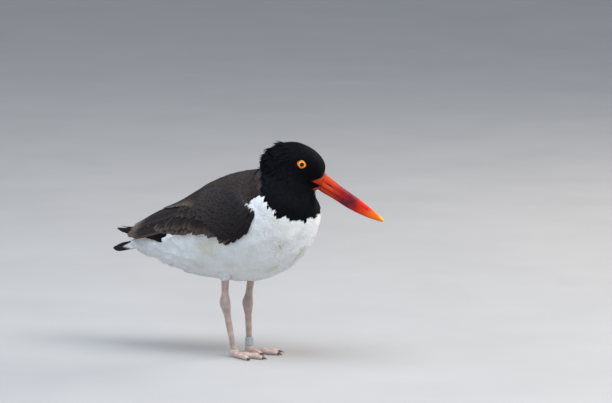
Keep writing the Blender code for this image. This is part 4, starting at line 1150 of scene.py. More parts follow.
def make_mantle():
    """Small rounded feathers between the wings and over the shoulders, larger towards the rear."""
    def weight(x, share, point):
        """Inside the dark shoulders' edge and behind the hood, denser towards the front."""
        inside = np.abs(share) < np.interp(x, SHOULDER_X, SHOULDER_LOW) - 0.01
        denser = 1 + 1.8 * smooth(-40, 30, x)
        return inside * smooth(-110, -100, x) * denser * point_is_behind_hood(point)

    x, share, draw = spread(flank_chart, looks().mantle_feathers, weight, SEED_MANTLE)
    point, _, _, _ = flank_chart.read(x, share)
    size = 1 - 0.45 * smooth(-40, 30, x)
    length = looks().mantle_length * size * draw.uniform(0.9, 1.15, len(x))
    width = MANTLE_WIDTH * size * draw.uniform(0.85, 1.1, len(x))
    heading = np.sign(share) * 0.22 * smooth(0.02, 0.15, np.abs(share)) + draw.normal(0, 0.1, len(x))
    axis = along_axis(flank_chart, x, share, heading, length, MANTLE_FORM.rows)
    front = smooth(14, 30, x - 0.62 * np.abs(point[:, 1]))
    heights = (-0.4 - 0.6 * front, (0.7 + draw.uniform(0, 0.3, len(x))) * (1 - front) - 0.3 * front)
    grids, t, c = feather_grids(
        flank_chart, axis, heading, length, width, MANTLE_FORM, flank_bed, heights, draw
    )
    tint = dark_tint(grids, t, c, 0.5 + 0.35 * ripple(point, 26, 6), 0.12, draw)
    mantle = coat_piece("mantle_feathers", dark_material(), grids, tint, *flank_place(x, share), t, c)
    dress(mantle, "brown_feathers")


def tier_axis(tier, side, reach, rows, draw):
    """Middle lines of a tier's feathers on the flank chart, straight from root to tip."""
    k = np.linspace(0, 1, tier.count)[:, None]
    root, tip = (np.array(a) * (1 - k) + np.array(b) * k for a, b in zip(tier.first, tier.last))
    root = root + draw.normal(0, (0.8, 0.004), root.shape)
    tip = tip + draw.normal(0, (1.8, 0.006), tip.shape) - (reach, 0.0)
    if tier.name not in FREE_TIERS:
        low = np.interp(tip[:, 0], WING_LOW_X, WING_LOW) + draw.normal(0, 0.006, tier.count)
        tip[:, 1] = np.minimum(tip[:, 1], low)
    t = np.linspace(0, 1, rows)
    line = root[:, None] + (tip - root)[:, None] * t[None, :, None]
    return line[..., 0], line[..., 1] * side


def make_wing(side_name):
    """A folded wing: tiers of large closed vanes, over them small coverts from the bend of the wing back."""
    side = SIDES[side_name]
    draw = np.random.default_rng(SEED_WING + side)
    for tier in WING_TIERS:
        make_tier(tier, side_name, side, draw)
    make_small_coverts(side_name, side)


def make_tier(tier, side_name, side, draw):
    """One tier of large feathers, each a little higher than the one before it."""
    form = VANE_FORM._replace(point=tier.point, end=0.3 if tier.point > 0.5 else 0.45)
    reach = WING_REACH[side_name] if tier.name == "wing_tips" else 0.0
    p, q = tier_axis(tier, side, reach, form.rows, draw)
    point, _, _, mm_q = flank_chart.read(p, q)
    fall = (q[:, -1] - q[:, 0]) * mm_q.mean(1)
    heading = np.arctan2(fall, p[:, 0] - p[:, -1])
    length = np.linalg.norm(np.diff(point, axis=1), axis=-1).sum(1)
    width = tier.width * draw.uniform(0.93, 1.07, tier.count)
    climb = 0.09 * np.arange(tier.count)
    heights = (tier.lift[0] + climb * 0.4, tier.lift[1] + climb * 0.5)
    grids, t, c = feather_grids(flank_chart, (p, q), heading, length, width, form, None, heights, draw)
    tint = dark_tint(grids, t, c, tier.tone + draw.normal(0, 0.08, tier.count), tier.edge, draw)
    material, slot = dark_material(), "brown_feathers"
    if tier.name in BLACK_TIERS:
        tint = tint * 0.25
        material, slot = vane_material(), "black_feathers"
    dress(vane_piece(f"{side_name}_{tier.name}", material, grids, tint, t, c), slot, f"{side_name}_wing")


def make_small_coverts(side_name, side):
    """Lesser coverts: small feathers over the front of the wing, pointing back and down."""
    def weight(x, share, point):
        """Even between the two edges of the small coverts, on this side only."""
        low, top = np.interp(x, COVERT_LOW_X, COVERT_LOW), np.interp(x, COVERT_TOP_X, COVERT_TOP)
        return (share * side > top) * (share * side < low) * (x < 52) * (x > -50)

    x, share, draw = spread(flank_chart, looks().covert_feathers, weight, SEED_COVERTS + side)
    front = smooth(-10, 48, x)
    size = 1 - 0.42 * front
    length = looks().covert_length * size * draw.uniform(0.88, 1.15, len(x))
    width = COVERT_WIDTH * size * draw.uniform(0.88, 1.1, len(x))
    low_down = smooth(0.25, 0.5, share * side)
    heading = side * (0.35 + 0.75 * front * low_down + 0.2 * low_down) + draw.normal(0, 0.1, len(x))
    axis = along_axis(flank_chart, x, share, heading, length, COVERT_FORM.rows)
    lift = np.interp(x, (-50, 10, 40, 52), (2.4, 2.2, 1.7, 1.0))
    heights = (lift - 1.6, lift + draw.uniform(0.0, 0.5, len(x)))
    grids, t, c = feather_grids(
        flank_chart, axis, heading, length, width, COVERT_FORM, flank_bed, heights, draw
    )
    tone = 0.02 + 0.4 * smooth(0.3, -0.1, front) + draw.normal(0, 0.05, len(x))
    tint = dark_tint(grids, t, c, tone, 0.06 + 0.16 * (1 - front), draw)
    place = flank_place(x, share)
    coverts = coat_piece(f"{side_name}_small_coverts", covert_material(), grids, tint, *place, t, c)
    dress(coverts, "brown_feathers", f"{side_name}_wing")


def make_tail():
    """Twelve tail feathers, white at the root and black at the end, the middle pair on top."""
    k = np.arange(FEATHERS_IN_TAIL) - (FEATHERS_IN_TAIL - 1) / 2
    share = k / ((FEATHERS_IN_TAIL - 1) / 2)
    turn = TAIL_FAN * share
    t = np.linspace(0, 1, 14)[None, :, None]
    c = np.linspace(-1, 1, 11)[None, None, :]
    length = (looks().tail_length - OUTER_SHORTER * share**2)[:, None, None]
    down = np.full_like(turn, -math.sin(TAIL_DROOP))
    back = np.stack([-np.cos(turn) * math.cos(TAIL_DROOP), np.sin(turn), down], axis=1)
    level = unit(np.cross(UP, back))
    upright = np.cross(back, level)
    roll = (TAIL_ARCH * share)[:, None]
    across = level * np.cos(roll) + upright * np.sin(roll)
    up = upright * np.cos(roll) - level * np.sin(roll)
    taper = np.sqrt(np.clip(1 - (np.clip(t - 0.78, 0, 1) / 0.22) ** 2, 0.1, 1))
    half = RECTRIX_WIDTH / 2 * (0.5 + 0.5 * np.clip(t / 0.4, 0, 1)) * taper
    start = np.stack([np.full_like(k, TAIL_ROOT[0]), k * 0.9, TAIL_ROOT[1] - TAIL_STACK * np.abs(k)], axis=1)
    run = t * length - 0.03 * length * t**3 * c**2
    sag = 0.5 * c**2 * t
    ridge = 0.35 * np.maximum(0, 1 - 5 * np.abs(c)) * (1 - t)
    grids = (
        start[:, None, None]
        + back[:, None, None] * run[..., None]
        + across[:, None, None] * (half * c)[..., None]
        + up[:, None, None] * (ridge - sag + 0.5)[..., None]
    )
    t, c = np.broadcast_to(t, grids.shape[:3]), np.broadcast_to(c, grids.shape[:3])
    outer = (share**6)[:, None, None]
    dark = smooth(0.50, 0.58, t + 0.03 * np.abs(c) - 0.2 * (1 - np.abs(c)) * outer)
    tint = blend(colour_of("belly"), colour_of("hood") * 1.2, dark)
    dress(vane_piece("tail_feathers", vane_material(), grids, tint, t, c), "black_feathers", "tail")


def even(p, q, point):
    """The same weight everywhere on a chart."""
    return np.ones(p.shape)


def make_thigh(name):
    """A feathered thigh: a tube of skin with short white feathers down it, shorter at the lower edge."""
    stations = spline([0, 0.35, 0.65, 1.0], CUFF_STATIONS)

    def cuff(p, q):
        """An ellipse round the line of the leg at each height, wide and long as the stations say."""
        height, fore, wide = np.moveaxis(stations(p), -1, 0)
        return leg_line(name, height) + np.stack([fore * np.cos(q), wide * np.sin(q), 0 * q], axis=-1)

    chart = Chart(cuff, (0.0, 1.0), (-1.2 * math.pi, 1.2 * math.pi), (60, 121))
    point, normal, _, _ = chart.read(*lattice(np.linspace(0, 1, 24), np.linspace(-math.pi, math.pi, 33)[:-1]))
    inward = -np.sign((normal * (point - leg_line(name, point[..., 2]))).sum(-1))[..., None]
    rings = point + normal * inward * 0.9
    tint = np.broadcast_to(colour_of("belly") * 0.85, rings.shape)
    dress(tube_piece(f"{name}_thigh", rings, skin_material(), tint, flip=True), "white_feathers")
    outward = float(np.sign(-inward.mean()))
    p, q, draw = spread(chart, looks().thigh_feathers, even, SEED_THIGH + SIDES[name])
    length = draw.uniform(*THIGH_LENGTH, len(p)) * (1 - 0.45 * smooth(0.6, 1.0, p))
    heading = math.pi + draw.normal(0, 0.12, len(p))
    axis = along_axis(chart, p, q, heading, length, BODY_FORM.rows)
    heights = (np.full(len(p), -0.8) * outward, draw.uniform(0.0, 0.5, len(p)) * outward)
    width = length * THIGH_NARROW
    grids, t, c = feather_grids(chart, axis, heading, length, width, BODY_FORM, None, heights, draw)
    tint = all_over(colour_of("belly") * draw.uniform(0.9, 1.03, (len(p), 1)), grids)
    _, v = place_of_roots(p, q)
    plumes = coat_piece(f"{name}_thigh_feathers", white_material(), grids, tint, 0.1 + 0.8 * p, v, t, c)
    dress(plumes, "white_feathers")


def leg_line(side_name, height):
    """The middle of the shank at a height, on the line from hip to ankle."""
    ankle = ANKLE[side_name]
    share = (HIP[2] - height) / (HIP[2] - ankle[2])
    x = HIP[0] + (ankle[0] - HIP[0]) * share
    y = SIDES[side_name] * (HIP[1] + (ankle[1] - HIP[1]) * share)
    return np.stack([x, y, height], axis=-1)


def make_bill():
    """Upper and lower bill, carried along one spline of culmen, mouth and lower edge."""
    rows = np.array([(*a, *b, *c, w) for a, b, c, w in BILL])
    reach = np.concatenate([[0], np.cumsum(np.linalg.norm(np.diff(rows[:, 2:4], axis=0), axis=1))])
    along = np.linspace(0, 1, 150) ** 0.92
    row = spline(reach / reach[-1], rows)(along)
    make_mandible("upper_bill", along[:, None], row[:, 0:2], row[:, 2:4], row[:, 6:7], True)
    make_mandible("lower_bill", along[:, None], row[:, 4:6], row[:, 2:4], row[:, 6:7], False)


def make_mandible(name, along, edge, mouth, half, upper):
    """Half ovals from the mouth to one edge of the bill, closed by a flat face at the mouth.

    The width loses a groove and a nostril on the upper half and a shallow hollow on the lower one, and gains
    a lip at the mouth.
    """
    mouth = mouth + unit(edge - mouth) * 0.12
    arc = np.linspace(0, math.pi, 57)
    inner = np.linspace(-1, 1, 11)[1:-1]
    rise = np.concatenate([np.sin(arc) ** (0.82 if upper else 0.75), np.zeros_like(inner)])[None, :]
    across = np.concatenate([np.cos(arc), inner])[None, :]
    slit = 0.0
    if upper:
        hollow = 0.45 * np.exp(-(((rise - 0.42) / 0.12) ** 2)) * smooth(0.5, 0.1, along)
        up = (rise - NOSTRIL_AT[1] + (along - NOSTRIL_AT[0]) * 0.15) / 0.055
        slit = 1.1 * np.exp(-(((along - NOSTRIL_AT[0]) / 0.055) ** 4) - up**2)
    else:
        hollow = 0.3 * np.exp(-(((rise - 0.35) / 0.15) ** 2)) * smooth(0.95, 0.5, along)
    lip = 0.16 * np.exp(-((rise / 0.1) ** 2)) * (rise > 0)
    flat = mouth[:, None] + (edge - mouth)[:, None] * rise[..., None]
    rings = in_head(flat[..., 0], flat[..., 1], (half - hollow - slit + lip) * across)
    tint = bill_tints(along, rise if upper else -rise, rings, slit)
    dress(tube_piece(name, rings, bill_material(), tint, flip=not upper), "bill", name)


def bill_tints(along, rise, point, slit):
    """Colours of the bill: orange-red root, crimson middle with a dusky patch, red, orange and yellow tip,
    with painted shade in the mouth line, the nasal groove and the nostril, and a painted highlight in part of
    the orange of the lower half.
    """
    stops, names = zip(*BILL_COLOURS)
    colours = np.array([colour_of(name) for name in names])
    streak = 0.03 * ripple(point, 9, 12)
    place = np.clip(along + streak + 0.02 * rise, 0, 1)
    tint = np.stack([np.interp(place, stops, colours[:, k]) for k in range(3)], axis=-1)
    dusky = np.exp(-(((along - 0.45) / 0.12) ** 4)) * np.clip(0.65 + 0.6 * ripple(point, 7, 14), 0, 1)
    tint = blend(tint, colour_of("bill_dusky"), dusky * 0.8)
    pale = np.exp(-(((np.abs(rise) - 0.14) / 0.08) ** 2)) * smooth(0.58, 0.78, along) * 0.75
    # The lower half turns orange towards the tip: partly the bill's own orange, partly a painted highlight
    # along the gonys
    pale = np.maximum(pale, 0.55 * smooth(0.55, 0.88, along) * (rise < 0))
    tint = blend(tint, colour_of("bill_orange"), pale)
    # Painted shade: dark lines along the mouth line and, near the root, along the nasal groove
    lines = np.exp(-((rise / 0.07) ** 2)) * smooth(0.8, 0.5, along)
    lines = np.maximum(lines, 0.6 * np.exp(-(((rise - 0.42) / 0.06) ** 2)) * smooth(0.42, 0.3, along))
    tint = blend(tint, colour_of("bill_dusky"), lines * 0.7)
    # The nostril slit is painted dark: painted shade in the opening
    return blend(tint, NOSTRIL_SHADE, np.clip(slit * 0.85, 0, 0.9))


def make_gape():
    """Bare red skin behind the bill: on each side two wedges that run back to the corners of the mouth."""
    u, v = lattice(np.linspace(0, 1, 16), np.linspace(0, 1, 10))
    shelf = np.array([0.02, 0.52])[:, None, None]
    unwrap = np.stack(np.broadcast_arrays(u * 0.45 + shelf, v * 0.9), axis=-1)
    faces = grid_faces(16, 10, 2)
    for name, side in SIDES.items():
        wedges = []
        for corners in (GAPE_UPPER, GAPE_LOWER):
            tip, top, low = (np.array(corner) for corner in corners)
            end = top * (1 - v[..., None]) + low * v[..., None]
            flat = tip + (end - tip) * u[..., None]
            point, normal = on_head(flat[..., 0], flat[..., 1], side)
            swell = GAPE_SWELL * np.sin(v * math.pi) ** 0.5 * u**0.5
            wedges.append(point + normal * (swell - GAPE_SINK)[..., None])
        grids = np.array(wedges)
        tint = np.broadcast_to(colour_of("bill_base") * 0.85, grids.shape)
        outside = faces[:, ::-1] if side < 0 else faces
        gape = new_piece(f"{name}_gape", grids, [outside], bill_material(), tint, {"OFBake": unwrap})
        dress(gape, "bill")


def make_eye(side_name):
    """The eyeball, and the almond of bare orange skin round it."""
    side = SIDES[side_name]
    surface, normal = (values[0] for values in on_head(*[np.array([v]) for v in EYE_AT], side))
    centre = surface + normal * (EYE_BULGE - EYE_RADIUS)
    up = unit(UP - normal * normal[2])
    ahead = unit(np.cross(up, normal)) * -side
    make_eyeball(side_name, side, centre, ahead, up, normal)
    make_eye_ring(side_name, side, lid_rings(centre, ahead, up, normal))


def make_eyeball(side_name, side, centre, ahead, up, normal):
    """A ball with a raised cornea, whose pupil and iris are bands of the angle from its own pole."""
    polar = np.linspace(0.012, math.pi - 0.02, 60)[:, None]
    turn = turns(48)[None, :]
    radius = EYE_RADIUS + CORNEA_RISE * np.exp(-((polar / 0.6) ** 4))
    rings = centre + (radius * np.sin(polar) * np.cos(turn))[..., None] * ahead
    rings = rings + (radius * np.sin(polar) * np.sin(turn))[..., None] * up
    rings = rings + (radius * np.cos(polar))[..., None] * normal
    ray = 0.10 * np.sin(turn * 23) + 0.06 * np.sin(turn * 41 + 1.0)
    outer = smooth(PUPIL_EDGE[0], 0.62, polar + ray * 0.3)[..., None]
    iris = blend(colour_of("iris_inner"), colour_of("iris"), outer) * (1 + ray[..., None])
    tint = blend(iris, PUPIL_BLACK, 1 - smooth(*PUPIL_EDGE, polar)[..., None])
    tint = blend(tint, IRIS_RIM, smooth(*IRIS_EDGE, polar)[..., None])
    material = hide_material("Eye", 0.08, 0.0, 900.0, 0.98, 1.02, specular=0.3)
    dress(tube_piece(f"{side_name}_eyeball", rings, material, tint, flip=side > 0), "eye", f"{side_name}_eye")


def make_eye_ring(side_name, side, lid):
    """The roll of bare skin round the eye, with painted light and shade of fine folds in its colour."""
    around, sections = lid.shape[:2]
    # Stripes of painted light and shade that stand for fine folds of the skin
    fold_light_and_shade = 0.1 * np.sin(turns(around) * 31)[:, None]
    tint = np.broadcast_to(colour_of("lid"), lid.shape) * (1 + fold_light_and_shade[..., None])
    material = hide_material("Eye ring", 0.42, 0.5, 1500.0, 0.85, 1.1)
    faces = grid_faces(around + 1, sections, closed=True) % (around * sections)
    if side > 0:
        faces = faces[:, ::-1]
    unwrap = np.stack(lattice(np.linspace(0, 1, around), np.linspace(0, 1, sections)), axis=-1)
    ring = new_piece(f"{side_name}_eye_ring", lid, [faces], material, tint, {"OFBake": unwrap})
    dress(ring, "lids", f"{side_name}_eyelids")


def lid_rings(centre, ahead, up, normal):
    """Sections of the eye ring between two almonds, which are ellipses pinched at the corners."""
    angle = turns(96)
    c, s = math.cos(LID_TILT), math.sin(LID_TILT)

    def almond(half):
        """An ellipse with its height less towards the corners, turned by the tilt."""
        along = half[0] * np.cos(angle)
        rise = half[1] * np.sin(angle) * (0.72 + 0.28 * np.abs(np.sin(angle)))
        return np.stack([along * c - rise * s, along * s + rise * c], axis=-1)

    inner, outer = almond(LID_INNER), almond(LID_OUTER)
    on_ball = np.sqrt((EYE_RADIUS + 0.25) ** 2 - (inner**2).sum(1))
    on_skin = EYE_RADIUS - EYE_BULGE - (outer**2).sum(1) / HEAD_ROUND
    rolls = []
    for share, lift in LID_ROLL:
        flat = inner * (1 - share) + outer * share
        height = on_ball * (1 - share) + on_skin * share + lift
        rolls.append(centre + flat[:, :1] * ahead + flat[:, 1:] * up + height[:, None] * normal)
    return np.stack(rolls, axis=1)


def shank_surface(path, widths, around, scale_size, depth):
    """Rings round a path with elliptical sections, raised into rounded scales set in staggered rows.

    A scale is the root of the product of two arches, |sin| across and along, with every other row moved by
    half a scale.
    """
    path, widths = np.asarray(path, float), np.asarray(widths, float)
    reach = np.concatenate([[0], np.cumsum(np.linalg.norm(np.diff(path, axis=0), axis=1))])
    shape = spline(reach, np.concatenate([path, widths], axis=1))
    along = np.arange(0, reach[-1], SHANK_STEP)
    row = shape(along)
    centre, widths = row[:, :3], row[:, 3:]
    tangent = unit(np.gradient(centre, axis=0))
    side = unit(np.array([0, 1.0, 0]) - tangent * tangent[:, 1:2])
    front = np.cross(side, tangent)
    turn = turns(around)[None, :]
    girth = 2 * math.pi * widths.mean()
    across = turn / (2 * math.pi) * round(girth / scale_size)
    level = along[:, None] / scale_size
    stagger = np.floor(level) % 2 * 0.5
    arch = np.abs(np.sin(math.pi * (across + stagger))) ** 0.5 * np.abs(np.sin(math.pi * level)) ** 0.5
    grow = depth * (arch - 0.6)
    rings = (
        centre[:, None]
        + ((widths[:, 0:1] + grow) * np.cos(turn))[..., None] * front[:, None]
        + ((widths[:, 1:2] + grow) * np.sin(turn))[..., None] * side[:, None]
    )
    return rings, arch


def leg_tints(rings, arch, draw_seed):
    """Legs: pale flesh pink with grey-brown scaling, patchy down the leg."""
    patch = np.clip(0.45 + 0.55 * ripple(rings, 9, draw_seed), 0, 1)
    tint = blend(colour_of("leg"), colour_of("leg_grey"), patch * 0.75)
    return tint * (0.79 + 0.22 * arch)[..., None]


def make_leg(side_name):
    """The bare shank, swollen ankle and tarsus, with small scales."""
    sign = SIDES[side_name]
    top = leg_line(side_name, CUFF_BOTTOM + 4.0)
    ankle = np.array(ANKLE[side_name]) * (1, sign, 1)
    foot = np.array([*FOOT[side_name], TARSUS_FOOT_Z - 1.5]) * (1, sign, 1)
    path, widths = [], []
    for share, fore, across in TIBIA_STATIONS:
        path.append(top + (ankle - top) * share)
        widths.append((fore, across))
    for share, fore, across in TARSUS_STATIONS:
        path.append(ankle + (foot - ankle) * share)
        widths.append((fore, across))
    rings, arch = shank_surface(path, widths, 64, SCALE_SIZE, SCALE_DEPTH)
    tint = leg_tints(rings, arch, 15 + sign)
    leg = tube_piece(f"{side_name}_leg_skin", rings, leg_material(), tint, flip=True)
    dress(leg, "legs", f"{side_name}_leg")


def make_foot(side_name):
    """Three toes with cross scutes over joints, a round sole, the small web and three curved claws."""
    sign = SIDES[side_name]
    start = np.array([FOOT[side_name][0], sign * FOOT[side_name][1], 0.0])
    horn = hide_material("Claw horn", 0.35, 0.2, 600.0)
    tubes, tints = [], []
    for name, (length, outward) in TOES.items():
        heading = math.radians(outward) * sign
        way = np.array([math.cos(heading), math.sin(heading), 0.0])
        across = np.array([-way[1], way[0], 0.0])
        ring, raised = toe_rings(start, way, across, length)
        tubes.append(ring)
        tints.append(leg_tints(ring, raised, 18))
        claw_at = start + way * length + np.array([0, 0, TOE_SINK * TOE_RADIUS[-1]])
        make_claw(f"{side_name}_{name}_claw", claw_at, way, across, horn)
    rings, tint = np.array(tubes), np.array(tints)
    count, rows, cols = rings.shape[:3]
    faces = [grid_faces(rows, cols, count, closed=True)[:, ::-1]]
    ends = np.arange(cols)[None] + (np.arange(count) * rows * cols)[:, None]
    faces += [ends, (ends + (rows - 1) * cols)[:, ::-1]]
    u, v = lattice(np.linspace(0.02, 0.98, rows), np.linspace(0, 1, cols))
    strip = (v + np.arange(count)[:, None, None]) / count * 0.98
    unwrap = np.stack(np.broadcast_arrays(u, strip), axis=-1)
    toes = new_piece(f"{side_name}_toes", rings, faces, leg_material(), tint, {"OFBake": unwrap})
    dress(toes, "legs", f"{side_name}_foot")
    make_sole(side_name, start)
    make_web(side_name, start, sign)


def toe_rings(start, way, across, length):
    """Circles along a toe with scutes on top and a flat sole, and how far each point is raised."""
    along = np.linspace(0, 1, 110)
    radius = spline(np.linspace(0, 1, len(TOE_RADIUS)), TOE_RADIUS)(along)
    turn = turns(28)[None, :]
    scute = np.abs(np.sin(along * length / SCUTE_LENGTH * math.pi))[:, None] ** 0.5
    top = smooth(-0.2, 0.6, np.sin(turn))
    swell = radius[:, None] + SCUTE_DEPTH * (scute - 0.6) * top
    centre = start + way * (along * length)[:, None] + np.array([0, 0, TOE_SINK]) * radius[:, None]
    ring = centre[:, None] + (swell * np.cos(turn))[..., None] * across
    ring = ring + (swell * np.sin(turn))[..., None] * UP
    ring[..., 2] = np.maximum(ring[..., 2], 0.0)
    return ring, scute * top + (1 - top) * 0.7


def make_sole(side_name, start):
    """The rounded joint of foot and tarsus: an upright barrel, flat on the floor."""
    height = np.linspace(0, 1, 24)[:, None]
    turn = turns(48)[None, :]
    foot = SOLE_SPREAD * np.sqrt(np.clip(1 - height**2, 0, 1))
    radius = SOLE_RADIUS + foot + 0.2 * np.sin(height * math.pi)
    lump = 0.12 * np.sin(turn * 9) * np.sin(height * 12)
    x, y = start[0] + (radius + lump) * np.cos(turn), start[1] + (radius + lump) * np.sin(turn)
    rings = np.stack(np.broadcast_arrays(x, y, height * SOLE_HEIGHT), axis=-1)
    sole = tube_piece(f"{side_name}_sole_joint", rings, leg_material(), leg_tints(rings, 0.7 + lump, 19))
    dress(sole, "legs", f"{side_name}_foot")


def make_web(side_name, start, sign):
    """The small web between middle and outer toe: a thin slab that sags, with its edge curved in."""
    u, v = lattice(np.linspace(0, 1, 16), np.linspace(0, 1, 16))
    angle = math.radians(TOES["outer"][1]) * sign * v
    reach = (WEB_REACH - WEB_BAY * np.sin(v * math.pi)) * u
    x, y = start[0] + reach * np.cos(angle), start[1] + reach * np.sin(angle)
    top = np.stack([x, y, WEB_TOP - WEB_SAG * np.sin(v * math.pi) * u], axis=-1)
    under = top - np.array([0, 0, WEB_THICKNESS])
    around = np.concatenate([top, under[:, ::-1]], axis=1)[1:]  # without the first row, which is one point
    tint = leg_tints(around, np.full(around.shape[:2], 0.6), 20)
    web = tube_piece(f"{side_name}_web", around, leg_material(), tint, flip=sign > 0)
    dress(web, "legs", f"{side_name}_foot")


def make_claw(name, start, way, across, material):
    """A curved claw: circles that shrink to a point along an arc that dips to the floor."""
    share = np.linspace(0, 1, 26)
    path = start + way * (share * (CLAW_LENGTH + 0.8) - 0.8)[:, None]
    radius = CLAW_RADIUS * (1 - 0.86 * share**1.4)
    path[:, 2] = start[2] + 0.9 * np.sin(share * math.pi * 0.55) - 1.55 * share**2
    path[:, 2] = np.maximum(path[:, 2], radius + 0.12)
    turn = turns(20)[None, :]
    rings = path[:, None] + (radius[:, None] * np.cos(turn) * 0.85)[..., None] * across
    rings = rings + (radius[:, None] * np.sin(turn))[..., None] * UP
    tint = blend(colour_of("claw"), colour_of("leg_grey"), (1 - share[:, None, None]) * 0.4)
    tint = np.broadcast_to(tint, rings.shape)
    dress(tube_piece(f"{name}_horn", rings, material, tint, flip=True), "claws", name)


def make_ring():
    """A metal band bent round the tarsus: a rounded rectangle carried round a circle with a narrow gap."""
    ankle = np.array(ANKLE["left"])
    foot = np.array([FOOT["left"][0], FOOT["left"][1], TARSUS_FOOT_Z])
    lean = unit(ankle - foot)
    middle = foot + lean * ((sum(RING_Z) / 2 - foot[2]) / lean[2])
    half = (RING_Z[1] - RING_Z[0]) / 2
    side = unit(np.cross(lean, [1.0, 0, 0]))
    front = np.cross(side, lean)
    angle = np.linspace(math.pi + RING_SLIT / 2, 3 * math.pi - RING_SLIT / 2, 120)[:, None]
    c, s = np.cos(turns(40))[None, :], np.sin(turns(40))[None, :]
    thick_half = (RING_OUTER - RING_INNER) / 2
    radius = (RING_INNER + RING_OUTER) / 2 + thick_half * np.sign(c) * np.abs(c) ** RING_CORNER
    height = half * np.sign(s) * np.abs(s) ** RING_CORNER
    rings = middle + (radius * np.cos(angle))[..., None] * front + (radius * np.sin(angle))[..., None] * side
    rings = rings + height[..., None] * lean
    tint = np.broadcast_to(colour_of("ring"), rings.shape)
    stretch = (0.25, 0.25, 3.0)
    material = hide_material("Ring metal", 0.36, 0.5, 1400.0, 0.7, 1.1, metallic=1.0, stretch=stretch)
    dress(tube_piece("ring_band", rings, material, tint), "ring_metal", "leg_ring")


def make_stage():
    """A pale floor that turns up into a backdrop, three soft lights, a plain sky and the camera."""
    right = np.array([math.cos(VIEW_TURN), math.sin(VIEW_TURN), 0.0])
    back = np.array([-math.sin(VIEW_TURN), math.cos(VIEW_TURN), 0.0])
    make_floor(right, back)
    for lamp in LAMPS:
        make_light(lamp, right, back)
    bpy.context.scene.view_settings.view_transform = "Standard"
    world = bpy.data.worlds.new("Plain sky")
    world.use_nodes = True
    sky = world.node_tree.nodes["Background"]
    sky.inputs[0].default_value = SKY_COLOUR
    sky.inputs[1].default_value = looks().sky_strength
    bpy.context.scene.world = world
    make_camera(right, back)


def make_floor(right, back):
    """The floor: a strip that runs level to behind the bird, bends up through a quarter circle, and rises."""
    quarter = np.linspace(0, 1, 60) * math.pi / 2
    level = np.linspace(FLOOR_START, FLOOR_END, 8)
    away = np.concatenate([level, FLOOR_END + FLOOR_BEND * np.sin(quarter), [FLOOR_END + FLOOR_BEND]])
    up = np.concatenate([np.zeros(8), FLOOR_BEND * (1 - np.cos(quarter)), [FLOOR_TOP]])
    across = np.array([-FLOOR_REACH, FLOOR_REACH])
    grid = away[:, None, None] * back + across[:, None] * right + up[:, None, None] * UP
    grid = grid / MM - SHIFT
    material = hide_material("Pale floor", 0.9, 0.05, 6.0, 0.97, 1.03, specular=0.1)
    tint = np.broadcast_to(colour_of("floor"), grid.shape)
    maps = {"OFBake": grid[..., :2] * MM / 20 + 0.5}
    floor = new_piece("floor", grid, [grid_faces(len(away), 2)], material, tint, maps)


def make_light(lamp, right, back):
    """A soft round light that points at the bird."""
    light = bpy.data.lights.new(lamp.name, "AREA")
    light.shape, light.size, light.color = "DISK", lamp.size, lamp.colour
    light.energy = looks().key_power * lamp.share
    holder = bpy.data.objects.new(lamp.name, light)
    holder.location = right * lamp.right - back * lamp.toward + UP * lamp.high
    aim = Vector(LAMP_AIM) - holder.location
    holder.rotation_euler = aim.to_track_quat("-Z", "Y").to_euler()
    bpy.context.scene.collection.objects.link(holder)


def make_camera(right, back):
    """The camera of the photo's view, from far away with a long lens."""
    to_camera = UP * math.sin(VIEW_TILT) - back * math.cos(VIEW_TILT)
    above = np.cross(to_camera, right)
    target = right * VIEW_CENTRE[0] + above * VIEW_CENTRE[1] + SHIFT
    camera = bpy.data.cameras.new("photo_view")
    camera.lens, camera.sensor_width, camera.clip_end = VIEW_LENS, SENSOR_WIDTH, CLIP_END
    holder = bpy.data.objects.new("photo_view", camera)
    holder.location = (target + to_camera * VIEW_DISTANCE) * MM
    holder.rotation_euler = Vector(to_camera).to_track_quat("Z", "Y").to_euler()
    bpy.context.scene.collection.objects.link(holder)
    bpy.context.scene.camera = holder


# Settings, operators and panel


def colour_setting(label, about, value):
    """A colour of the settings."""
    return bpy.props.FloatVectorProperty(
        name=label, description=about, subtype="COLOR", size=3, min=0.0, max=1.0, default=value
    )


def count_setting(label, about, value):
    """A setting that counts feathers."""
    return bpy.props.IntProperty(name=label, description=about, default=value, min=10, max=40000)


def length_setting(label, about, value):
    """A setting in millimetres."""
    about = about + ", in millimetres"
    return bpy.props.FloatProperty(name=label, description=about, default=value, min=1.0, max=100.0)


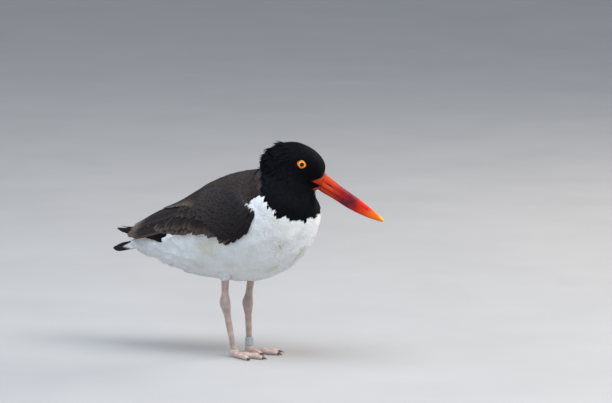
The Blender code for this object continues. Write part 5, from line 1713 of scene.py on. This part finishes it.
class OystercatcherSettings(bpy.types.PropertyGroup):
    """Sizes and colours of the bird and its stage."""

    belly: colour_setting("Underparts", "White plumage of breast and belly", (0.84, 0.865, 0.87))
    belly_stain: colour_setting("Stain", "Faint olive stain on the underparts", (0.66, 0.65, 0.50))
    hood: colour_setting("Hood", "Black plumage of head and neck", (0.0032, 0.0036, 0.0052))
    forehead: colour_setting("Forehead", "Slightly brown black by the bill", (0.010, 0.008, 0.008))
    back: colour_setting("Back", "Brown plumage of mantle and wings", (0.036, 0.0238, 0.0213))
    back_dark: colour_setting("Coverts", "Near-black brown of the front coverts", (0.0085, 0.0072, 0.0088))
    back_edge: colour_setting("Worn edges", "Pale worn edges of brown feathers", (0.15, 0.108, 0.086))
    bill_base: colour_setting("Bill root", "Orange-red root of the bill", (0.56, 0.040, 0.004))
    bill_middle: colour_setting("Bill middle", "Crimson middle of the bill", (0.29, 0.005, 0.009))
    bill_dusky: colour_setting("Bill patch", "Dusky patch half way along the bill", (0.055, 0.007, 0.018))
    bill_red: colour_setting("Bill front", "Red before the tip", (0.62, 0.010, 0.002))
    bill_orange: colour_setting("Bill orange", "Orange towards the tip", (0.92, 0.17, 0.005))
    bill_tip: colour_setting("Bill tip", "Yellow tip of the bill", (0.95, 0.50, 0.012))
    iris: colour_setting("Iris", "Yellow-orange outer iris", (0.93, 0.36, 0.02))
    iris_inner: colour_setting("Iris by the pupil", "Paler inner iris", (0.95, 0.52, 0.05))
    lid: colour_setting("Eye ring", "Orange-red bare skin round the eye", (0.80, 0.12, 0.010))
    leg: colour_setting("Legs", "Pale flesh of the legs", (0.60, 0.44, 0.38))
    leg_grey: colour_setting("Leg scales", "Grey-brown of scales and joints", (0.33, 0.27, 0.24))
    claw: colour_setting("Claws", "Dark horn", (0.035, 0.028, 0.028))
    ring: colour_setting("Ring", "Bare metal of the leg ring", (0.55, 0.60, 0.63))
    floor: colour_setting("Floor", "Pale floor and backdrop", (0.375, 0.365, 0.36))
    underpart_feathers: count_setting("Underpart feathers", "How many feathers clothe the underparts", 7600)
    hood_feathers: count_setting("Hood feathers", "How many feathers clothe head and neck", 5600)
    nape_spikes: count_setting("Nape feathers", "How many loose feathers stand out at the nape", 600)
    mantle_feathers: count_setting("Mantle feathers", "How many feathers lie between the wings", 620)
    covert_feathers: count_setting("Small coverts", "How many small feathers lie on each wing", 420)
    thigh_feathers: count_setting("Thigh feathers", "How many feathers clothe each thigh", 320)
    underpart_length: length_setting("Underpart length", "Length of the longest white feathers", 13.5)
    hood_length: length_setting("Hood length", "Length of the longest feathers of the neck", 9.5)
    mantle_length: length_setting("Mantle length", "Length of the longest feathers of the back", 19.0)
    covert_length: length_setting("Covert length", "Length of the longest small coverts", 15.0)
    tail_length: length_setting("Tail length", "Length of the middle tail feathers", 54.5)
    key_power: bpy.props.FloatProperty(
        name="Key light", description="Power of the main light", default=52.0, min=0.0, unit="POWER"
    )
    sky_strength: bpy.props.FloatProperty(
        name="Sky", description="Strength of the plain sky", default=0.72, min=0.0
    )


class OYSTERCATCHER_OT_skin(bpy.types.Operator):
    """Makes the skin under the plumage"""

    bl_idname = "oystercatcher.skin"
    bl_label = "Skin"

    def execute(self, context):
        """Makes the pieces."""
        make_skin()
        return {"FINISHED"}


class OYSTERCATCHER_OT_underparts(bpy.types.Operator):
    """Makes the white plumage"""

    bl_idname = "oystercatcher.underparts"
    bl_label = "Underparts"

    def execute(self, context):
        """Makes the pieces."""
        make_underparts()
        return {"FINISHED"}


class OYSTERCATCHER_OT_hood(bpy.types.Operator):
    """Makes the black plumage of head and neck"""

    bl_idname = "oystercatcher.hood"
    bl_label = "Hood"

    def execute(self, context):
        """Makes the pieces."""
        make_hood()
        make_nape()
        return {"FINISHED"}


class OYSTERCATCHER_OT_mantle(bpy.types.Operator):
    """Makes the brown plumage of the back"""

    bl_idname = "oystercatcher.mantle"
    bl_label = "Mantle"

    def execute(self, context):
        """Makes the pieces."""
        make_mantle()
        return {"FINISHED"}


class OYSTERCATCHER_OT_wings(bpy.types.Operator):
    """Makes the folded wings"""

    bl_idname = "oystercatcher.wings"
    bl_label = "Wings"

    def execute(self, context):
        """Makes one on each side."""
        for side_name in SIDES:
            make_wing(side_name)
        return {"FINISHED"}


class OYSTERCATCHER_OT_tail(bpy.types.Operator):
    """Makes the tail feathers"""

    bl_idname = "oystercatcher.tail"
    bl_label = "Tail"

    def execute(self, context):
        """Makes the pieces."""
        make_tail()
        return {"FINISHED"}


class OYSTERCATCHER_OT_thighs(bpy.types.Operator):
    """Makes the feathered thighs"""

    bl_idname = "oystercatcher.thighs"
    bl_label = "Thighs"

    def execute(self, context):
        """Makes one on each side."""
        for side_name in SIDES:
            make_thigh(side_name)
        return {"FINISHED"}


class OYSTERCATCHER_OT_bill(bpy.types.Operator):
    """Makes the bill and the bare skin behind it"""

    bl_idname = "oystercatcher.bill"
    bl_label = "Bill"

    def execute(self, context):
        """Makes the pieces."""
        make_bill()
        make_gape()
        return {"FINISHED"}


class OYSTERCATCHER_OT_eyes(bpy.types.Operator):
    """Makes the eyes and their rings"""

    bl_idname = "oystercatcher.eyes"
    bl_label = "Eyes"

    def execute(self, context):
        """Makes one on each side."""
        for side_name in SIDES:
            make_eye(side_name)
        return {"FINISHED"}


class OYSTERCATCHER_OT_legs(bpy.types.Operator):
    """Makes the bare legs"""

    bl_idname = "oystercatcher.legs"
    bl_label = "Legs"

    def execute(self, context):
        """Makes one on each side."""
        for side_name in SIDES:
            make_leg(side_name)
        return {"FINISHED"}


class OYSTERCATCHER_OT_feet(bpy.types.Operator):
    """Makes toes, webs and claws"""

    bl_idname = "oystercatcher.feet"
    bl_label = "Feet"

    def execute(self, context):
        """Makes one on each side."""
        for side_name in SIDES:
            make_foot(side_name)
        return {"FINISHED"}


class OYSTERCATCHER_OT_ring(bpy.types.Operator):
    """Makes the metal ring"""

    bl_idname = "oystercatcher.ring"
    bl_label = "Leg ring"

    def execute(self, context):
        """Makes the pieces."""
        make_ring()
        return {"FINISHED"}


class OYSTERCATCHER_OT_stage(bpy.types.Operator):
    """Makes floor, lights and camera"""

    bl_idname = "oystercatcher.stage"
    bl_label = "Stage"

    def execute(self, context):
        """Makes the pieces."""
        make_stage()
        return {"FINISHED"}


OPERATORS = [
    OYSTERCATCHER_OT_skin,
    OYSTERCATCHER_OT_underparts,
    OYSTERCATCHER_OT_hood,
    OYSTERCATCHER_OT_mantle,
    OYSTERCATCHER_OT_wings,
    OYSTERCATCHER_OT_tail,
    OYSTERCATCHER_OT_thighs,
    OYSTERCATCHER_OT_bill,
    OYSTERCATCHER_OT_eyes,
    OYSTERCATCHER_OT_legs,
    OYSTERCATCHER_OT_feet,
    OYSTERCATCHER_OT_ring,
    OYSTERCATCHER_OT_stage,
]


class OYSTERCATCHER_PT_panel(bpy.types.Panel):
    """Lists the settings and the pieces of the bird."""

    bl_label = "Oystercatcher"
    bl_space_type = "VIEW_3D"
    bl_region_type = "UI"
    bl_category = "Oystercatcher"

    def draw(self, context):
        """Draws every setting, then a button for each operator."""
        for key in OystercatcherSettings.__annotations__:
            self.layout.prop(context.scene.oystercatcher, key)
        for each in OPERATORS:
            self.layout.operator(each.bl_idname)


CLASSES = [OystercatcherSettings, *OPERATORS, OYSTERCATCHER_PT_panel]


def register():
    """Registers the classes and the settings."""
    for each in CLASSES:
        bpy.utils.register_class(each)
    bpy.types.Scene.oystercatcher = bpy.props.PointerProperty(type=OystercatcherSettings)


def unregister():
    """Takes the settings and the classes away again."""
    del bpy.types.Scene.oystercatcher
    for each in reversed(CLASSES):
        bpy.utils.unregister_class(each)


def main():
    """Makes every piece and the stage."""
    register()
    for each in OPERATORS:
        getattr(bpy.ops.oystercatcher, each.bl_idname.split(".")[1])()
    bpy.context.view_layer.update()


if __name__ == "__main__":
    main()
